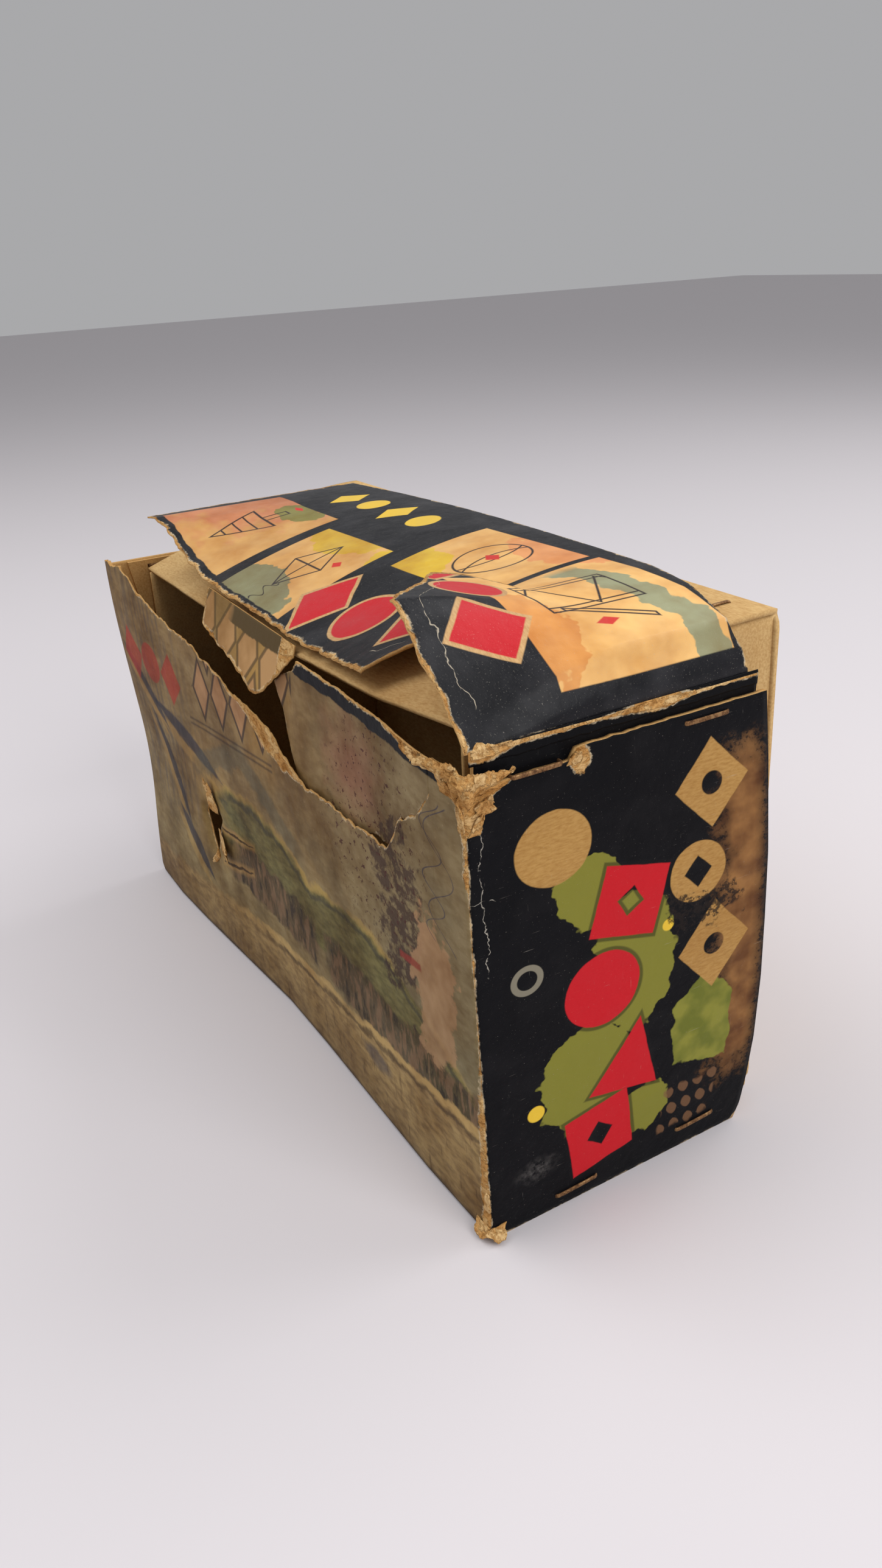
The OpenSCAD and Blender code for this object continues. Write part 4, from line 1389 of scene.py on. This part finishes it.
def finish(name):
    """The finish of that name, made when it is first asked for."""
    if name in bpy.data.materials:
        return bpy.data.materials[name]
    g = Graph(name)
    if name in ("print_face", "print_fragment"):
        face_art(g)
        if name == "print_fragment":  # painted light: lighter than the face for the light it catches, and less soiled
            g.lay((196, 160, 96), 0.16)
        return worn_print(g, ((g.attribute("tear"), 0.7, 4.5),
                              (LENGTH + 0.6 - g.u, 0.6, 3.0)), 0.5)
    if name == "print_end":
        corner = end_art(g)
        return worn_print(g, ((g.attribute("tear"), 0.7, 3.6), (corner, 0.3, 2.4),
                              (g.v + 0.5, 0.4, 2.6)), 0.42)
    if name == "print_tab":
        g.lay((150, 144, 136), scratches(g) * 0.4)
        return worn_print(g, ((g.attribute("tear"), 0.5, 3.0),), 0.42)
    if name == "print_top":
        top_art(g)
        return worn_print(g, ((g.attribute("tear"), 0.8, 4.5),
                              (g.attribute("crease"), 0.2, 1.8)), 0.4)
    if name == "wire":
        rust = g.noise(0.9, 4.0, 0.7)
        shade = g.ramp(rust, (0.34, (66, 46, 32)), (0.5, "wire"), (0.68, (160, 128, 88)))
        return g.finish(shade, rust * 0.06, 0.75 - rust * 0.5,
                        g.step(rust, 0.4, 0.66) * 0.85)
    if name == "kraft":
        shade, height = kraft_board(g)
    elif name == "ply":
        shade, height = plies(g, (222, 190, 142))
    else:
        shade, height = bare_board(g, "board")
    return g.finish(shade, height, g.noise(0.3) * 0.1 + 0.78)


def coat(node, name):
    """Gives a CAD node a finish."""
    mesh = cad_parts[node].data
    mesh.materials.clear()
    mesh.materials.append(finish(name))


# ---- Stage ----


class CARTON_OT_stage(bpy.types.Operator):
    """Builds the floor, the soft lamps, the world and the camera"""
    bl_idname = "carton.stage"
    bl_label = "Stage"

    def execute(self, context):
        scene = context.scene
        floor = bmesh.new()
        bmesh.ops.create_grid(floor, x_segments=1, y_segments=1, size=4)
        mesh = bpy.data.meshes.new("floor")
        floor.to_mesh(mesh)
        floor.free()
        add("floor", mesh)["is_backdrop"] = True
        paint = bpy.data.materials.new("floor_paint")
        paint.use_nodes = True
        shader = paint.node_tree.nodes["Principled BSDF"]
        shader.inputs["Base Color"].default_value = (0.64, 0.605, 0.625, 1)
        shader.inputs["Roughness"].default_value = 0.6
        mesh.materials.append(paint)

        for name, place, wide, power in (("key", (-0.35, -0.5, 1.05), 0.9, 7.2),
                                         ("side", (1.1, 0.15, 0.85), 0.8, 9.5),
                                         ("back", (0.1, 0.9, 0.9), 0.9, 6.5)):
            lamp = bpy.data.lights.new(name, "AREA")
            lamp.energy, lamp.size = power, wide
            made = add(name, lamp)
            made.location = place
            aim = Vector((0, 0, 0.06)) - made.location
            made.rotation_euler = aim.to_track_quat("-Z", "Y").to_euler()

        world = bpy.data.worlds.new("room")
        world.use_nodes = True
        back = world.node_tree.nodes["Background"]
        back.inputs["Color"].default_value = (0.9, 0.9, 0.92, 1)
        back.inputs["Strength"].default_value = 0.44
        scene.world = world
        scene.view_settings.view_transform = "Standard"

        camera = bpy.data.cameras.new("camera")
        camera.lens, camera.sensor_width, camera.clip_start = 27.17, 36, 0.01
        scene.camera = add("camera", camera)
        scene.camera.matrix_world = (
            Matrix.Translation((0.2829, -0.1420, 0.2075))
            @ Matrix.Rotation(radians(60.39), 4, "Z")  # turn
            @ Matrix.Rotation(radians(90 - 24.59), 4, "X")  # tilt
            @ Matrix.Rotation(radians(-3.231), 4, "Z"))  # roll
        return {"FINISHED"}


# ---- Add-on ----


class CARTON_PT_panel(bpy.types.Panel):
    """Lists the carton's sizes, colours and steps"""
    bl_label = "Worn carton"
    bl_idname = "CARTON_PT_panel"
    bl_space_type = "VIEW_3D"
    bl_region_type = "UI"
    bl_category = "Carton"

    def draw(self, context):
        column = self.layout.column()
        for group in (context.scene.carton_sizes, context.scene.carton_colours):
            for name in group.__annotations__:
                column.prop(group, name)
        for step in STEPS:
            column.operator(step.bl_idname)


STEPS = (CARTON_OT_stage, CARTON_OT_lid, CARTON_OT_tabs, CARTON_OT_top_wall,
         CARTON_OT_tray, CARTON_OT_staples, CARTON_OT_scraps)
CLASSES = (CartonSizes, CartonColours, *STEPS, CARTON_PT_panel)


def register():
    for c in CLASSES:
        bpy.utils.register_class(c)
    bpy.types.Scene.carton_sizes = PointerProperty(type=CartonSizes)
    bpy.types.Scene.carton_colours = PointerProperty(type=CartonColours)


def unregister():
    del bpy.types.Scene.carton_colours, bpy.types.Scene.carton_sizes
    for c in reversed(CLASSES):
        bpy.utils.unregister_class(c)


def main():
    register()
    for step in STEPS:
        group, name = step.bl_idname.split(".")
        getattr(getattr(bpy.ops, group), name)()
    boxes = {"cad": CAD_BOX, "visual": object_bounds()}
    {k: [list(c) for c in v] for k, v in boxes.items()}


if __name__ == "__main__":
    main()
